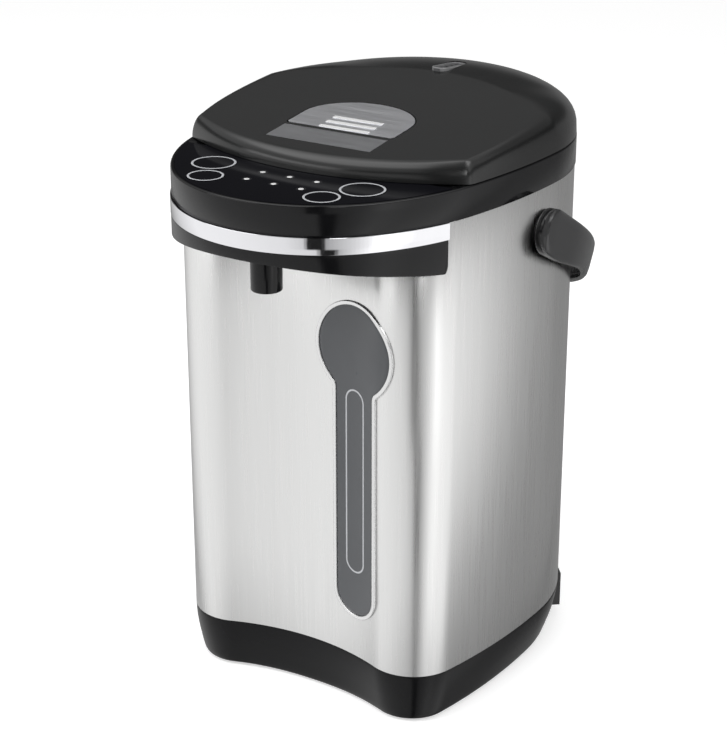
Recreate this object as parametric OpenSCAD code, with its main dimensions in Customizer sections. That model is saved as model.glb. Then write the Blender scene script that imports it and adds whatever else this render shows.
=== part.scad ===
// Electric thermo pot: an insulated steel hot-water urn with a pumped spout.
// Drawn about the axis of the inner pot, front towards -Y, table at z = 0.

/* [Body] */
// Room between the pot's bore and the body's widest sides
wall_room = 15.3; // [14.8:0.1:17]
// Room between the pot's bore and the middle of the hollow front
front_room = 17.6; // [16.5:0.1:18.6]
// Room between the base's top and the pot's floor
under_room = 60.2; // [58:0.2:66]
// Sheet of the steel body
steel_t = 0.8; // [0.6:0.1:1.2]
// Radius of the gently bowed sides
side_r = 420; // [380:5:480]
// Radius of the two front corners
corner_r = 32; // [30:0.5:34]
// Distance of the front corners' centres behind the hollow front's middle
corner_back = 19.3; // [18.6:0.1:20]

/* [Base] */
// Height of the plastic base with its feet
base_h = 37; // [35:1:39]
// Wall of the base
base_t = 2.5; // [2:0.1:3]
// How far the base's lower edge is rounded in
base_round = 10.4; // [9:0.2:11.4]
// Height of the rubber feet
foot_h = 2; // [1.5:0.1:3]
// Radius of a rubber foot
foot_r = 6.5; // [6:0.5:7.5]
// Radius of the screwed bottom cover
cover_r = 83; // [81:0.5:84]

/* [Head] */
// Height of the head's collar
collar_h = 19.2; // [18.6:0.2:22]
// How far the collar stands proud of the steel
collar_out = 0.6; // [0.3:0.1:1]
// Wall of the head
head_t = 2.5; // [2.2:0.1:2.8]
// Reach of the nose ahead of the hollow front's middle
nose_reach = 72.8; // [71:0.2:76]
// How much tighter the round nose is than the rear of the head
nose_in = 19.1; // [17.5:0.1:21]
// Radius of the shoulders between side and nose
shoulder_r = 150; // [146:1:156]
// Height of the chrome band
chrome_h = 10.4; // [8:0.2:12]
// Thickness of the chrome band
chrome_t = 1.1; // [0.8:0.1:1.4]
// How far the visor stands proud of the collar
visor_out = 1.7; // [1.2:0.1:2]
// Depth of the visor below the collar at the centre line
visor_h = 18; // [17:0.2:19]
// Radius of the visor's arched lower edge
visor_arch_r = 365; // [345:1:400]
// Distance of the chrome band's ends behind the hollow front's middle
band_back = 6; // [5:0.2:7]
// Distance of the visor's ends below the band behind the hollow front's middle
visor_back = 5.2; // [4:0.1:5.6]
// Wall of the visor
visor_t = 2.2; // [1.8:0.1:2.6]

/* [Spout] */
// Radius of the nozzle
nozzle_r = 9.8; // [9:0.2:11]
// Radius of the nozzle's bore
nozzle_bore_r = 4.5; // [4:0.1:5]
// Distance of the nozzle behind the nose
nozzle_back = 30.6; // [28:0.2:33]
// How far the nozzle hangs below the visor
nozzle_drop = 27.5; // [22:0.5:30]

/* [Keys and lights] */
// Radius of the two large keys
key_big_r = 14; // [13.4:0.1:14.3]
// Radius of the two small keys
key_small_r = 11.3; // [10.4:0.1:11.6]
// Place of a large key, across and behind the nose
key_big_at = [53.8, 53.4];
// Place of a small key, across and behind the nose
key_small_at = [41.6, 28.3];
// Travel of a key
key_travel = 0.6; // [0.4:0.1:0.8]
// Running gap round a key
key_gap = 0.3; // [0.2:0.05:0.4]
// Radius of a signal light's lens
led_r = 3; // [2:0.1:3.2]
// Spacing of the signal lights across and along
led_pitch = [19.5, 17];
// Place of the signal lights' middle, across and behind the nose
led_at = [2.5, 44.6];
// Thickness of the glossy control panel
panel_t = 1.1; // [0.9:0.1:1.4]
// How far the panel stands proud of the head
panel_proud = 0.3; // [0.2:0.05:0.4]

/* [Level window] */
// Radius of the window's round head
window_r = 29.5; // [27:0.5:30]
// Distance of the round head's centre below the head
window_drop = 89; // [86:1:94]
// Half width of the window's stem
stem_half = 16; // [15:0.5:17]
// Height of the stem's lower end above the table
stem_z = 68.4; // [66:0.4:76]
// Distance of the window's middle from the centre line
window_x = 39.8; // [38:0.2:42]
// Radius of the fillets between head and stem
window_fillet = 7; // [5:0.5:9]
// Width of the frame round the window
frame_w = 2.6; // [2:0.1:3]
// How far the frame stands proud of the steel
frame_out = 1.6; // [1.2:0.1:2]
// Radius of the level tube
tube_r = 5.2; // [4.5:0.1:5.5]
// Distances of the level tube's ends above the stem's end and below the round head's centre
tube_ends = [30.6, 25];

/* [Lid] */
// Gap between the head and the closed lid
lid_gap = 0.6; // [0.5:0.1:0.8]
// How far the lid's outline stays inside the collar
lid_in = 0.2; // [0.1:0.1:0.8]
// Radius of the lid's two front corners
lid_corner_r = 8; // [7.5:0.5:10]
// Radius of the lid's bowed front edge
lid_front_r = 190; // [175:1:205]
// Reach of the lid's front edge ahead of the hollow front's middle
lid_lap = 7.2; // [6.2:0.1:8]
// Height of the lid's crown over the head at the lid's front edge
crown_front = 10.8; // [10.4:0.1:12]
// Rise of the lid's top per millimetre towards the rear
crown_slope = 0.107; // [0.103:0.001:0.112]
// Distance of the rear crease behind the pot axis
crease_y = 43.8; // [42:0.2:46]
// How far the crease bends forward towards the sides, per square millimetre
crease_bend = 0.0043; // [0.0041:0.0001:0.0046]
// Distance of the crease from the lid's front edge at the middle
crease_front = 9.5; // [8.5:0.1:10.5]
// Fullness of the rounding outside the crease
lid_fullness = 2.43; // [2.2:0.01:2.7]
// Wall of the lid
lid_t = 2.5; // [2.2:0.1:2.8]
// Opening angle of the lid
lid_open = 90; // [70:1:90]
// Distance of the hinge axis outside the pot's bore
hinge_back = 5.8; // [5.4:0.1:5.8]
// Height of the hinge axis above the head
hinge_up = 11; // [10.6:0.1:11.4]
// Radius of the hinge pin
hinge_pin_r = 2; // [1.6:0.1:2.2]
// Gap between the lid's plug and the pot's bore
plug_gap = 4.2; // [3.8:0.1:5]
// Depth of the plug below the head's top
plug_depth = 8; // [7:0.5:10]

/* [Latch] */
// Half width of the latch pieces
latch_half = 39; // [36:0.5:41]
// Distances of the finger plate's front and rear edge behind the lid's front edge
plate_back = [20.6, 42];
// Distance of the lever's front edge behind the lid's front edge
lever_back = 45.5; // [45:0.5:47]
// Length of the lever's straight sides
lever_side = 21; // [18:0.5:22]
// Depth of the lever's rounded rear
lever_round = 28.5; // [26:0.5:30]
// Opening angle of the lever
lever_open = 17; // [14:1:17]
// Travel of the latch bolt
bolt_travel = 2.8; // [2.2:0.1:2.8]
// Running gap round the lever
lever_gap = 0.8; // [0.7:0.1:1]

/* [Handle] */
// Distance of the handle's pivots ahead of the pot axis
pivot_y = 15; // [12:1:18]
// Distance of the pivots below the head
pivot_drop = 28; // [26:1:33]
// Room between the body's side and the middle of the handle's strap
handle_room = 8; // [7.6:0.2:9.6]
// Room between the body's rear and the middle of the hanging strap
handle_gap = 14.5; // [13:0.5:20]
// Straight length of the handle's arms
handle_arm = 24; // [20:1:26]
// Width of the handle's strap at its pivots
strap_w = 30; // [28:1:31]
// How much narrower the strap is behind the pot
strap_rise = 6; // [4:0.5:7]
// Thickness of the handle's strap
strap_t = 5; // [4:0.2:5.4]
// Angle at which the handle hangs below level
handle_hang = 30; // [28:1:33]
// Radius of the pivot pins
pivot_r = 4; // [3:0.1:5]
// Radius of the bosses between body and handle
boss_r = 11.5; // [9:0.5:14]

/* [Inner pot and heating] */
// Inner radius of the pot
pot_r = 97.2; // [96.8:0.1:97.4]
// Sheet of the pot
pot_t = 0.8; // [0.6:0.1:1]
// Depth of the pot
pot_depth = 258; // [240:1:262]
// Radius of the heater plate under the pot
heater_r = 70; // [60:1:80]
// Thickness of the heater plate
heater_t = 4; // [3:0.5:5]

/* [Pump] */
// Place of the pump's axis, across and ahead of the pot axis
pump_at = [-42, 38];
// Radius of the pump's body
pump_r = 22; // [20:0.5:23]
// Radius of the pump's motor
motor_r = 16; // [14:0.5:16.5]
// Inner and outer radius of the water hoses
hose_r = [3, 4.5];

/* [Power inlet] */
// Angle of the inlet round the pot axis, from +X
inlet_angle = 38; // [36:1:44]
// Width and height of the inlet's face
inlet_face = [30, 25];
// Width and height of the socket's recess
socket = [22, 12];
// Depth of the socket's recess
socket_depth = 14; // [12:1:16]

/* [Hidden] */
$fn = 96;
eps = 0.01;

// Levels, from the pot's floor up
seal_h = 2.5;
pot_floor_z = base_h + under_room;
rim_z = pot_floor_z + pot_depth;
deck_under_z = rim_z + seal_h;
deck_z = deck_under_z + head_t;
head_z = deck_z - collar_h;
lid_z = deck_z + lid_gap;
window_z = head_z - window_drop;
tube_z = [stem_z + tube_ends[0], window_z - tube_ends[1]];
pivot_z = head_z - pivot_drop;
chrome_z = head_z - chrome_h;
visor_z = head_z - visor_h;

// Widths and depths, from the pot's bore outwards
body_r = pot_r + wall_room;
waist_y = pot_r + front_room;
corner_y = waist_y - corner_back;
nose_y = waist_y + nose_reach;
visor_end_y = waist_y - band_back;
visor_side_y = waist_y - visor_back;
nozzle_y = nose_y - nozzle_back;
lid_front_y = waist_y + lid_lap;
plate_y = [for (b = plate_back) lid_front_y - b];
lever_front = lid_front_y - lever_back;
hinge_y = pot_r + hinge_back;
plug_r = pot_r - plug_gap;
handle_half = body_r + handle_room;
handle_reach = (body_r + pivot_y + handle_gap) / cos(handle_hang);
wide = body_r + 20;
ahead = nose_y + 25;
head_r = body_r + collar_out;
lid_r = head_r - lid_in;

// The centre of a circle that lies d1 from centre a and d2 from centre b, on the right
function meet(a, d1, b, d2) =
    let (v = b - a, d = norm(v), u = v / d,
         k = (d1 * d1 - d2 * d2 + d * d) / (2 * d), h = sqrt(d1 * d1 - k * k),
         p = a + k * u + h * [-u[1], u[0]], q = a + k * u - h * [-u[1], u[0]])
    p[0] > q[0] ? p : q;
function angle_to(a, b) = atan2(b[1] - a[1], b[0] - a[0]);

// An outline's right half is a list of arcs, from the rear to the front:
// [centre, radius, +1 if it bulges out or -1 if it is hollow, first angle, last angle, steps].
// An inset moves every arc square to itself, so outlines with different insets nest exactly.
function half_outline(arcs, inset) =
    [for (q = arcs, i = [0 : q[5] - 1])
        let (a = q[3] + (q[4] - q[3]) * i / q[5])
        q[0] + (q[1] - q[2] * inset) * [cos(a), sin(a)]];
function front_point(arcs, inset) =
    let (q = arcs[len(arcs) - 1]) [0, q[0][1] + (q[1] - q[2] * inset) * sin(q[4])];
function outline(arcs, inset) =
    let (h = half_outline(arcs, inset), n = len(h))
    concat(h, [front_point(arcs, inset)], [for (i = [n - 1 : -1 : 1]) [-h[i][0], h[i][1]]]);

// The points of an outline, each with the direction straight out of it
function half_rim(arcs) =
    [for (q = arcs, i = [0 : q[5] - 1])
        let (a = q[3] + (q[4] - q[3]) * i / q[5], u = [cos(a), sin(a)])
        [q[0] + q[1] * u, q[2] * u]];
function rim(arcs) =
    let (h = half_rim(arcs), n = len(h))
    concat(h, [[front_point(arcs, 0), [0, -1]]],
        [for (i = [n - 1 : -1 : 1]) [for (v = h[i]) [-v[0], v[1]]]]);

// Steel body: round rear, bowed sides, two round corners and a hollow front
side_c = [body_r - side_r, 0];
corner_c = [side_c[0] + sqrt(pow(side_r - corner_r, 2) - pow(corner_y, 2)), -corner_y];
waist_gap = waist_y - corner_y;
waist_r = (pow(corner_c[0], 2) + pow(waist_gap, 2) - pow(corner_r, 2))
    / (2 * (corner_r - waist_gap));
waist_c = [0, -waist_y - waist_r];
side_end = angle_to(side_c, corner_c);
BODY = [[[0, 0], body_r, 1, 90, 0, 16],
    [side_c, side_r, 1, 0, side_end, 4],
    [corner_c, corner_r, 1, side_end, angle_to(corner_c, waist_c), 10],
    [waist_c, waist_r, -1, angle_to(waist_c, corner_c), 90, 6]];

// Head: round rear, bowed sides, shoulders and a round nose
head_side_c = [head_r - side_r, 0];
nose_r = head_r - nose_in;
nose_c = [0, nose_r - nose_y];
shoulder_c = meet(head_side_c, side_r - shoulder_r, nose_c, shoulder_r - nose_r);
shoulder_a = [angle_to(head_side_c, shoulder_c), angle_to(shoulder_c, nose_c)];
HEAD = [[[0, 0], head_r, 1, 90, 0, 16],
    [head_side_c, side_r, 1, 0, shoulder_a[0], 3],
    [shoulder_c, shoulder_r, 1, shoulder_a[0], shoulder_a[1], 5],
    [nose_c, nose_r, 1, shoulder_a[1], -90, 12]];

// Lid: round rear, bowed sides, round front corners and a bowed front edge
lid_side_c = [lid_r - side_r, 0];
lid_front_c = [0, lid_front_r - lid_front_y];
lid_corner_c = meet(lid_side_c, side_r - lid_corner_r, lid_front_c, lid_front_r - lid_corner_r);
lid_a = [angle_to(lid_side_c, lid_corner_c), angle_to(lid_front_c, lid_corner_c)];
LID = [[[0, 0], lid_r, 1, 90, 0, 14],
    [lid_side_c, side_r, 1, 0, lid_a[0], 4],
    [lid_corner_c, lid_corner_r, 1, lid_a[0], lid_a[1], 6],
    [lid_front_c, lid_front_r, 1, lid_a[1], -90, 5]];

module prism(arcs, inset, z0, z1)
    translate([0, 0, z0]) linear_extrude(z1 - z0) polygon(outline(arcs, inset));
module ring_prism(arcs, outer, inner, z0, z1)
    translate([0, 0, z0]) linear_extrude(z1 - z0) difference() {
        polygon(outline(arcs, outer));
        polygon(outline(arcs, inner));
    }
module disc(r, z0, z1) translate([0, 0, z0]) cylinder(r = r, h = z1 - z0);
module washer(ro, ri, z0, z1)
    translate([0, 0, z0]) linear_extrude(z1 - z0) difference() {
        circle(ro);
        circle(ri);
    }
// A block between two corners
module block(a, b) translate(a) cube(b - a);
module across(r, x0, x1, y, z) translate([x0, y, z]) rotate([0, 90, 0]) cylinder(r = r, h = x1 - x0);

// A closed solid through rings of points, each ring with as many points as the next
module skin(rings) {
    n = len(rings[0]);
    m = len(rings);
    mid = function(r) [for (k = [0 : 2]) [for (p = r) p[k]] * [for (p = r) 1 / n]];
    pts = concat([for (r = rings, p = r) p], [mid(rings[0]), mid(rings[m - 1])]);
    sides = [for (j = [0 : m - 2], i = [0 : n - 1], t = [0, 1])
        let (a = j * n + i, b = j * n + (i + 1) % n)
        t == 0 ? [a, b, a + n] : [b, b + n, a + n]];
    caps = [for (i = [0 : n - 1], t = [0, 1])
        let (k = (i + 1) % n)
        t == 0 ? [m * n, k, i] : [m * n + 1, (m - 1) * n + i, (m - 1) * n + k]];
    polyhedron(points = pts, faces = concat(sides, caps), convexity = 6);
}
// A round hose with a bore, along a list of points
function unit(v) = v / norm(v);
function heading(path, i) =
    let (n = len(path)) unit(path[min(i + 1, n - 1)] - path[max(i - 1, 0)]);
function hose_ring(path, i, r, sides) =
    let (t = heading(path, i),
         s = abs(t[2]) > 0.9 ? [1, 0, 0] : [0, 0, 1],
         u = unit(cross(t, s)), v = cross(t, u))
    [for (k = [0 : sides - 1]) path[i] + r * (cos(360 * k / sides) * u + sin(360 * k / sides) * v)];
module hose(path, ri, ro, sides = 12) {
    m = len(path);
    rings = concat([for (i = [0 : m - 1]) hose_ring(path, i, ro, sides)],
        [for (i = [m - 1 : -1 : 0]) hose_ring(path, i, ri, sides)]);
    faces = [for (j = [0 : 2 * m - 1], i = [0 : sides - 1], t = [0, 1])
        let (j2 = (j + 1) % (2 * m), k = (i + 1) % sides,
             a = j * sides + i, b = j * sides + k, c = j2 * sides + i, d = j2 * sides + k)
        t == 0 ? [a, c, b] : [b, c, d]];
    polyhedron(points = [for (r = rings, p = r) p], faces = faces, convexity = 6);
}
// Points on a bend: quadratic curves between the middles of a route's legs
function bend(route, steps = 4) =
    let (n = len(route))
    concat([route[0]],
        [for (i = [1 : n - 2], k = [0 : steps])
            let (a = i == 1 ? route[0] * 0.4 + route[1] * 0.6 : (route[i - 1] + route[i]) / 2,
                 c = i == n - 2 ? route[n - 1] * 0.4 + route[n - 2] * 0.6
                     : (route[i] + route[i + 1]) / 2,
                 t = k / steps)
            if (k > 0 || i == 1)
            (1 - t) * (1 - t) * a + 2 * t * (1 - t) * route[i] + t * t * c],
        [route[n - 1]]);

// Base: levels of height and inset, from the rounded lower edge up to the steel
base_levels = [[0, 1], [0.02, 0.8], [0.06, 0.7], [0.12, 0.61], [0.25, 0.48], [0.45, 0.28],
    [0.68, 0.1], [0.85, 0.025], [1, 0]];
// The rounding is deeper at the rear and shallow at the hollow front
function base_share(p) = (1.1 + 0.0034 * p[1]) * (p[1] < 0 ? 1 - 0.4 * exp(-pow(p[0] / 45, 2)) : 1);
function base_ring(k, inset, z) =
    [for (r = rim(BODY)) let (p = r[0] - (base_round * k * base_share(r[0]) + inset) * r[1]) [p[0], p[1], z]];
module base_solid(inset, z0, z1)
    skin([for (q = base_levels) base_ring(q[1], inset, z0 + q[0] * (z1 - z0))]);
base_floor = 2.5;
cover_seat_z = foot_h + base_floor;
base_floor_z = cover_seat_z + base_floor;
cover_screw_r = cover_r - 4;
lip_h = 5;
lip_fit = 0.2;
lip_t = 2;
foot_at = cover_r + foot_r + 1;
front_foot = [66, 92];
screw_r = 1.5;

module at_feet() {
    for (s = [-1, 1]) {
        translate([s * foot_at * cos(45), foot_at * sin(45), 0]) children();
        translate([s * front_foot[0], -front_foot[1], 0]) children();
    }
}
module at_cover_screws()
    for (a = [0 : 90 : 270]) rotate([0, 0, a]) translate([cover_screw_r, 0, 0]) children();

// Where the power inlet sits in the base's wall
inlet_z = (foot_h + base_h) / 2 + 3;
inlet_out = 1.2;
inlet_in = 22;
module at_inlet()
    rotate([0, 0, inlet_angle]) translate([body_r, 0, inlet_z]) children();
module inlet_block(w, h, x0, x1) translate([x0, -w / 2, -h / 2]) cube([x1 - x0, w, h]);

module base_shell() color([0.06, 0.06, 0.065]) difference() {
    union() {
        difference() {
            base_solid(0, foot_h, base_h);
            base_solid(base_t, base_floor_z, base_h + 1);
        }
        ring_prism(BODY, steel_t + lip_fit, steel_t + lip_fit + lip_t, base_h - lip_t, base_h + lip_h);
    }
    disc(cover_r - 8, foot_h - 1, base_floor_z + 1);
    disc(cover_r + 0.3, foot_h - 1, cover_seat_z);
    at_cover_screws() disc(screw_r, foot_h - 1, base_floor_z + 1);
    at_inlet() inlet_block(inlet_face[0], inlet_face[1], -inlet_in - 1, inlet_out + 1);
}
board_at = [[8, -28], [62, -28], [8, 34], [60, 34]];
board_z = 22;
module bottom_cover() color([0.09, 0.09, 0.095]) difference() {
    union() {
        disc(cover_r, foot_h, cover_seat_z);
        for (p = board_at) translate(p) disc(3, cover_seat_z - 1, board_z);
    }
    at_cover_screws() disc(screw_r, 0, cover_seat_z + 1);
    for (y = [-36 : 8 : 36]) translate([-24, y - 1.2, 0]) cube([48, 2.4, cover_seat_z + 1]);
}
module rubber_feet() color([0.12, 0.12, 0.12])
    at_feet() disc(foot_r, 0, foot_h);
module bottom_screws() color([0.7, 0.7, 0.72])
    at_cover_screws() {
        disc(screw_r, foot_h - 0.6, base_floor_z + 1);
        disc(2.8, foot_h - 0.8, foot_h);
    }

// Window outline: a round head on a stem, drawn in a front view; grow widens it all round
module window_shape(grow) {
    drop = window_z - stem_z - stem_half;
    fc = stem_half + window_fillet;
    fz = sqrt(pow(window_r + window_fillet, 2) - pow(fc, 2));
    translate([window_x, window_z]) {
        circle(window_r + grow);
        translate([-stem_half - grow, -drop]) square([2 * (stem_half + grow), drop]);
        translate([0, -drop]) circle(stem_half + grow);
        for (s = [-1, 1]) difference() {
            polygon([[0, 0], [s * fc, -fz], [s * stem_half, -fz], [0, -fz]]);
            translate([s * fc, -fz]) circle(window_fillet - grow);
        }
    }
}
// The window's outline as a bar from front to back
module window_bar(grow) translate([0, -corner_y, 0]) rotate([90, 0, 0]) linear_extrude(45) window_shape(grow);
// A sheet of the window's outline between two depths of the body's outline
module window_sheet(grow, outer, inner) intersection() {
    window_bar(grow);
    ring_prism(BODY, outer, inner, stem_z - 10, window_z + window_r + 10);
}
pivot_play = 0.08;
// A round bar on both sides, between two distances from the centre plane
module both_sides(r, x0, x1, y, z)
    for (s = [-1, 1]) across(r, min(s * x0, s * x1), max(s * x0, s * x1), y, z);
module pivot_holes(r) both_sides(r, body_r - 22, wide, -pivot_y, pivot_z);

module body_shell() color([0.78, 0.78, 0.79]) difference() {
    ring_prism(BODY, 0, steel_t, base_h, head_z);
    window_bar(0);
    pivot_holes(pivot_r);
}

hose_wall = hose_r[1] - hose_r[0];
deck_hole_r = pot_r - 1.2;
ring_r = pot_r + 10.8;
ring_z = [rim_z - pot_t - 3, rim_z - pot_t];
ring_screw_r = pot_r + 8.4;
key_places = [[-key_big_at[0], key_big_at[1] - nose_y], [-key_small_at[0], key_small_at[1] - nose_y],
    [key_small_at[0], key_small_at[1] - nose_y], [key_big_at[0], key_big_at[1] - nose_y]];
key_radii = [key_big_r, key_small_r, key_small_r, key_big_r];
key_flange = 1;
led_places = [for (j = [-0.5, 0.5], i = [-1 : 1])
    [led_at[0] + i * led_pitch[0], led_at[1] - nose_y + j * led_pitch[1]]];
board_screw_at = [[-28, led_at[1] - nose_y], [28, led_at[1] - nose_y], [led_at[0], 13.6 - nose_y]];
function oval(half, grow) = [for (i = [0 : 47]) [(half[0] + grow) * cos(7.5 * i), (half[1] + grow) * sin(7.5 * i)]];
module at_ring_screws()
    for (a = [30, 150, 210, 330]) rotate([0, 0, a]) translate([ring_screw_r, 0, 0]) children();
module key_holes(grow) for (i = [0 : 3]) translate(key_places[i]) circle(key_radii[i] + grow);
module led_holes(r) for (p = led_places) translate(p) circle(r);

panel_edge = 2.4;
panel_back_y = waist_y - 10.8;
module panel_shape(grow) difference() {
    intersection() {
        polygon(outline(HEAD, panel_edge - grow));
        translate([-wide, -ahead]) square([2 * wide, ahead - panel_back_y + grow]);
    }
    translate(lid_front_c) circle(lid_front_r - 3 - grow, $fn = 180);
}
switch_z = head_z + 9.4;
switch_h = 3;
plunger_h = 1;
board_t = 1.6;
module head_shell() color([0.05, 0.05, 0.055]) difference() {
    union() {
        difference() {
            prism(HEAD, 0, head_z, deck_z);
            prism(HEAD, head_t, head_z - 1, deck_under_z);
        }
        ring_prism(BODY, steel_t + lip_fit, steel_t + lip_fit + lip_t, head_z - lip_h, head_z + lip_t);
        at_ring_screws() disc(2.4, ring_z[1], deck_z - 1);
        for (p = board_screw_at) translate(p) disc(3, switch_z, deck_z - 1);
    }
    disc(deck_hole_r, head_z - 1, deck_z + 1);
    translate([0, 0, deck_z - panel_t + panel_proud]) linear_extrude(panel_t) panel_shape(0);
    translate([0, 0, deck_under_z - 1]) linear_extrude(head_t + 2) {
        key_holes(key_gap);
        led_holes(led_r);
    }
    at_ring_screws() disc(screw_r, ring_z[1] - 1, deck_under_z + 0.5);
    for (p = board_screw_at) translate(p) disc(screw_r, switch_z - 1, deck_under_z + 0.5);
    block([-9, -waist_y - 15, head_z - lip_h - 1], [9, 15 - waist_y, head_z + lip_t + 1]);
}

// Everything of the visor lies ahead of the band's ends, above the arch
module visor_zone(rise, y1, top) difference() {
    block([-wide, -ahead, visor_z - 40], [wide, -y1, top]);
    translate([0, 0, visor_z + rise - visor_arch_r]) rotate([90, 0, 0])
        cylinder(r = visor_arch_r, h = ahead + 5, $fn = 180);
}
// The visor's ends seen from the side: leaning a little, then rounded into the arch
visor_lean = 1;
visor_corner_r = 12;
module visor_ends() {
    y = -visor_side_y - visor_lean;
    z = visor_z - visor_arch_r + sqrt(pow(visor_arch_r, 2) - pow(body_r - 6.5, 2)) + visor_corner_r;
    translate([-wide, 0, 0]) rotate([90, 0, 90]) linear_extrude(2 * wide) difference() {
        polygon([[-visor_side_y, chrome_z], [20 - waist_y, chrome_z], [20 - waist_y, visor_z - 60],
            [y - visor_corner_r, visor_z - 60], [y - visor_corner_r, z], [y, z]]);
        translate([y - visor_corner_r, z]) circle(visor_corner_r);
    }
}
module visor() color([0.05, 0.05, 0.055]) difference() {
    intersection() {
        visor_zone(0, visor_end_y, head_z);
        union() {
            prism(HEAD, -visor_out, visor_z - 40, chrome_z);
            prism(HEAD, chrome_t - visor_out, chrome_z - 1, head_z);
        }
    }
    prism(BODY, -0.05, 0, head_z + 1);
    visor_ends();
    intersection() {
        union() {
            visor_zone(visor_t, visor_side_y + visor_lean + visor_corner_r, head_z + 1);
            intersection() {
                visor_zone(visor_t, visor_side_y + 4.4, head_z + 1);
                block([28 - body_r, -ahead, visor_z - 30], [body_r - 28, 0, head_z + 2]);
            }
        }
        difference() {
            prism(HEAD, visor_t + chrome_t - visor_out, visor_z - 40, head_z + 1);
            prism(BODY, -0.05 - visor_t, 0, head_z + 2);
        }
    }
    translate([0, -nozzle_y, 0]) disc(nozzle_r, visor_z - 10, visor_z + 10);
}
module chrome_band() color([0.9, 0.9, 0.92]) difference() {
    intersection() {
        ring_prism(HEAD, -visor_out - 0.3, chrome_t - visor_out, chrome_z, head_z);
        block([-wide, -ahead, chrome_z - 1], [wide, -visor_end_y, head_z + 1]);
    }
    prism(BODY, -0.05, chrome_z - 2, head_z + 1);
}
module control_panel() color([0.03, 0.03, 0.035])
    translate([0, 0, deck_z - panel_t + panel_proud]) linear_extrude(panel_t) difference() {
        panel_shape(0);
        key_holes(key_gap);
        led_holes(led_r);
    }
module led_lenses() color([0.8, 0.82, 0.84])
    for (p = led_places) translate(p) disc(led_r, switch_z + board_t + 0.1 - board_t, deck_z + panel_proud);
module board_shape() difference() {
    intersection() {
        polygon(outline(HEAD, head_t + 3.5));
        translate([-90, 5.6 - nose_y]) square([180, key_big_at[1]]);
    }
    for (p = board_screw_at) translate(p) circle(screw_r);
}
module control_board() color([0.1, 0.35, 0.2])
    translate([0, 0, switch_z - board_t]) linear_extrude(board_t) board_shape();
module key_switches() color([0.25, 0.25, 0.27])
    for (p = key_places) translate(p) {
        block([-3, -3, switch_z], [3, 3, switch_z + switch_h]);
        disc(1.7, switch_z + switch_h, switch_z + switch_h + plunger_h);
    }
module screw(z0, z1) {
    disc(screw_r, z0, z1);
    disc(2.8, z0 - 1.6, z0);
}
module frame_screws() color([0.7, 0.7, 0.72]) {
    at_ring_screws() screw(ring_z[0], deck_under_z);
    for (p = board_screw_at) translate(p) screw(switch_z - board_t, deck_under_z);
}
module a_key(i) {
    top = deck_z + panel_proud + 0.3;
    under = deck_under_z - 0.2;
    translate(key_places[i]) {
        disc(key_radii[i], under, top);
        disc(key_radii[i] + key_flange, under - 1.6, under);
        disc(2, switch_z + switch_h + plunger_h + key_travel + 0.05, under - 1);
    }
}
module key_unlock() color([0.04, 0.04, 0.05]) a_key(0);
module key_reboil() color([0.04, 0.04, 0.05]) a_key(1);
module key_warm() color([0.04, 0.04, 0.05]) a_key(2);
module key_pour() color([0.04, 0.04, 0.05]) a_key(3);

// Spout
nozzle_z = visor_z - nozzle_drop;
nozzle_top_z = visor_z + visor_t + 4;
module spout_nozzle() color([0.05, 0.05, 0.055]) translate([0, -nozzle_y, 0]) difference() {
    union() {
        disc(nozzle_r, nozzle_z, visor_z + visor_t);
        disc(nozzle_r + 2, visor_z + visor_t + 0.4, visor_z + visor_t + 2.4);
        disc(nozzle_r - 1, visor_z + visor_t - 1, nozzle_top_z);
    }
    disc(nozzle_bore_r, nozzle_z - 1, nozzle_top_z + 1);
    translate([0, 0, nozzle_z]) rotate_extrude() polygon([[0, -1], [nozzle_r - 1, -1],
        [nozzle_r - 3.5, 5], [nozzle_bore_r - 1, 6], [0, 6]]);
}
tube_y = sqrt(pow(waist_r, 2) - pow(window_x, 2)) - waist_r - waist_y + steel_t + tube_r + 4.5;
valve_z = [tube_z[1] + 34, tube_z[1] + 64];
over_z = head_z + hose_r[1] + 0.4;
module outlet_hose() color([0.85, 0.85, 0.83]) {
    hose([[window_x, tube_y, tube_z[1]], [window_x, tube_y, (tube_z[1] + valve_z[0]) / 2],
        [window_x, tube_y, valve_z[0]]], hose_r[0], hose_r[1]);
    hose(bend([[window_x, tube_y, valve_z[1]], [window_x, tube_y, head_z - 12],
        [window_x / 3, tube_y + 4, head_z - 6], [0, tube_y + 4, over_z],
        [0, -waist_y - 6, over_z], [0, -nozzle_y + 14, nozzle_top_z + 7],
        [0, -nozzle_y, nozzle_top_z + 7], [0, -nozzle_y, nozzle_top_z]]),
        hose_r[0], hose_r[1]);
}
module tilt_valve() color([0.9, 0.9, 0.88]) translate([window_x, tube_y, 0]) difference() {
    disc(tube_r + 2.6, valve_z[0], valve_z[1]);
    disc(hose_r[0], valve_z[0] - 1, valve_z[1] + 1);
    disc(tube_r, valve_z[0] + 6, valve_z[1] - 6);
}

// Level window
module window_frame() color([0.85, 0.85, 0.86]) difference() {
    window_sheet(frame_w, -frame_out, 0);
    window_bar(0);
}
module window_lens() color([0.22, 0.22, 0.24, 0.9]) union() {
    window_sheet(-0.1, -0.9, steel_t + 1.4);
    window_sheet(1.6, steel_t, steel_t + 1.4);
}
module level_tube() color([0.8, 0.9, 0.95, 0.5])
    translate([window_x, tube_y, 0]) washer(tube_r, tube_r - 1.1, tube_z[0], tube_z[1]);

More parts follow.
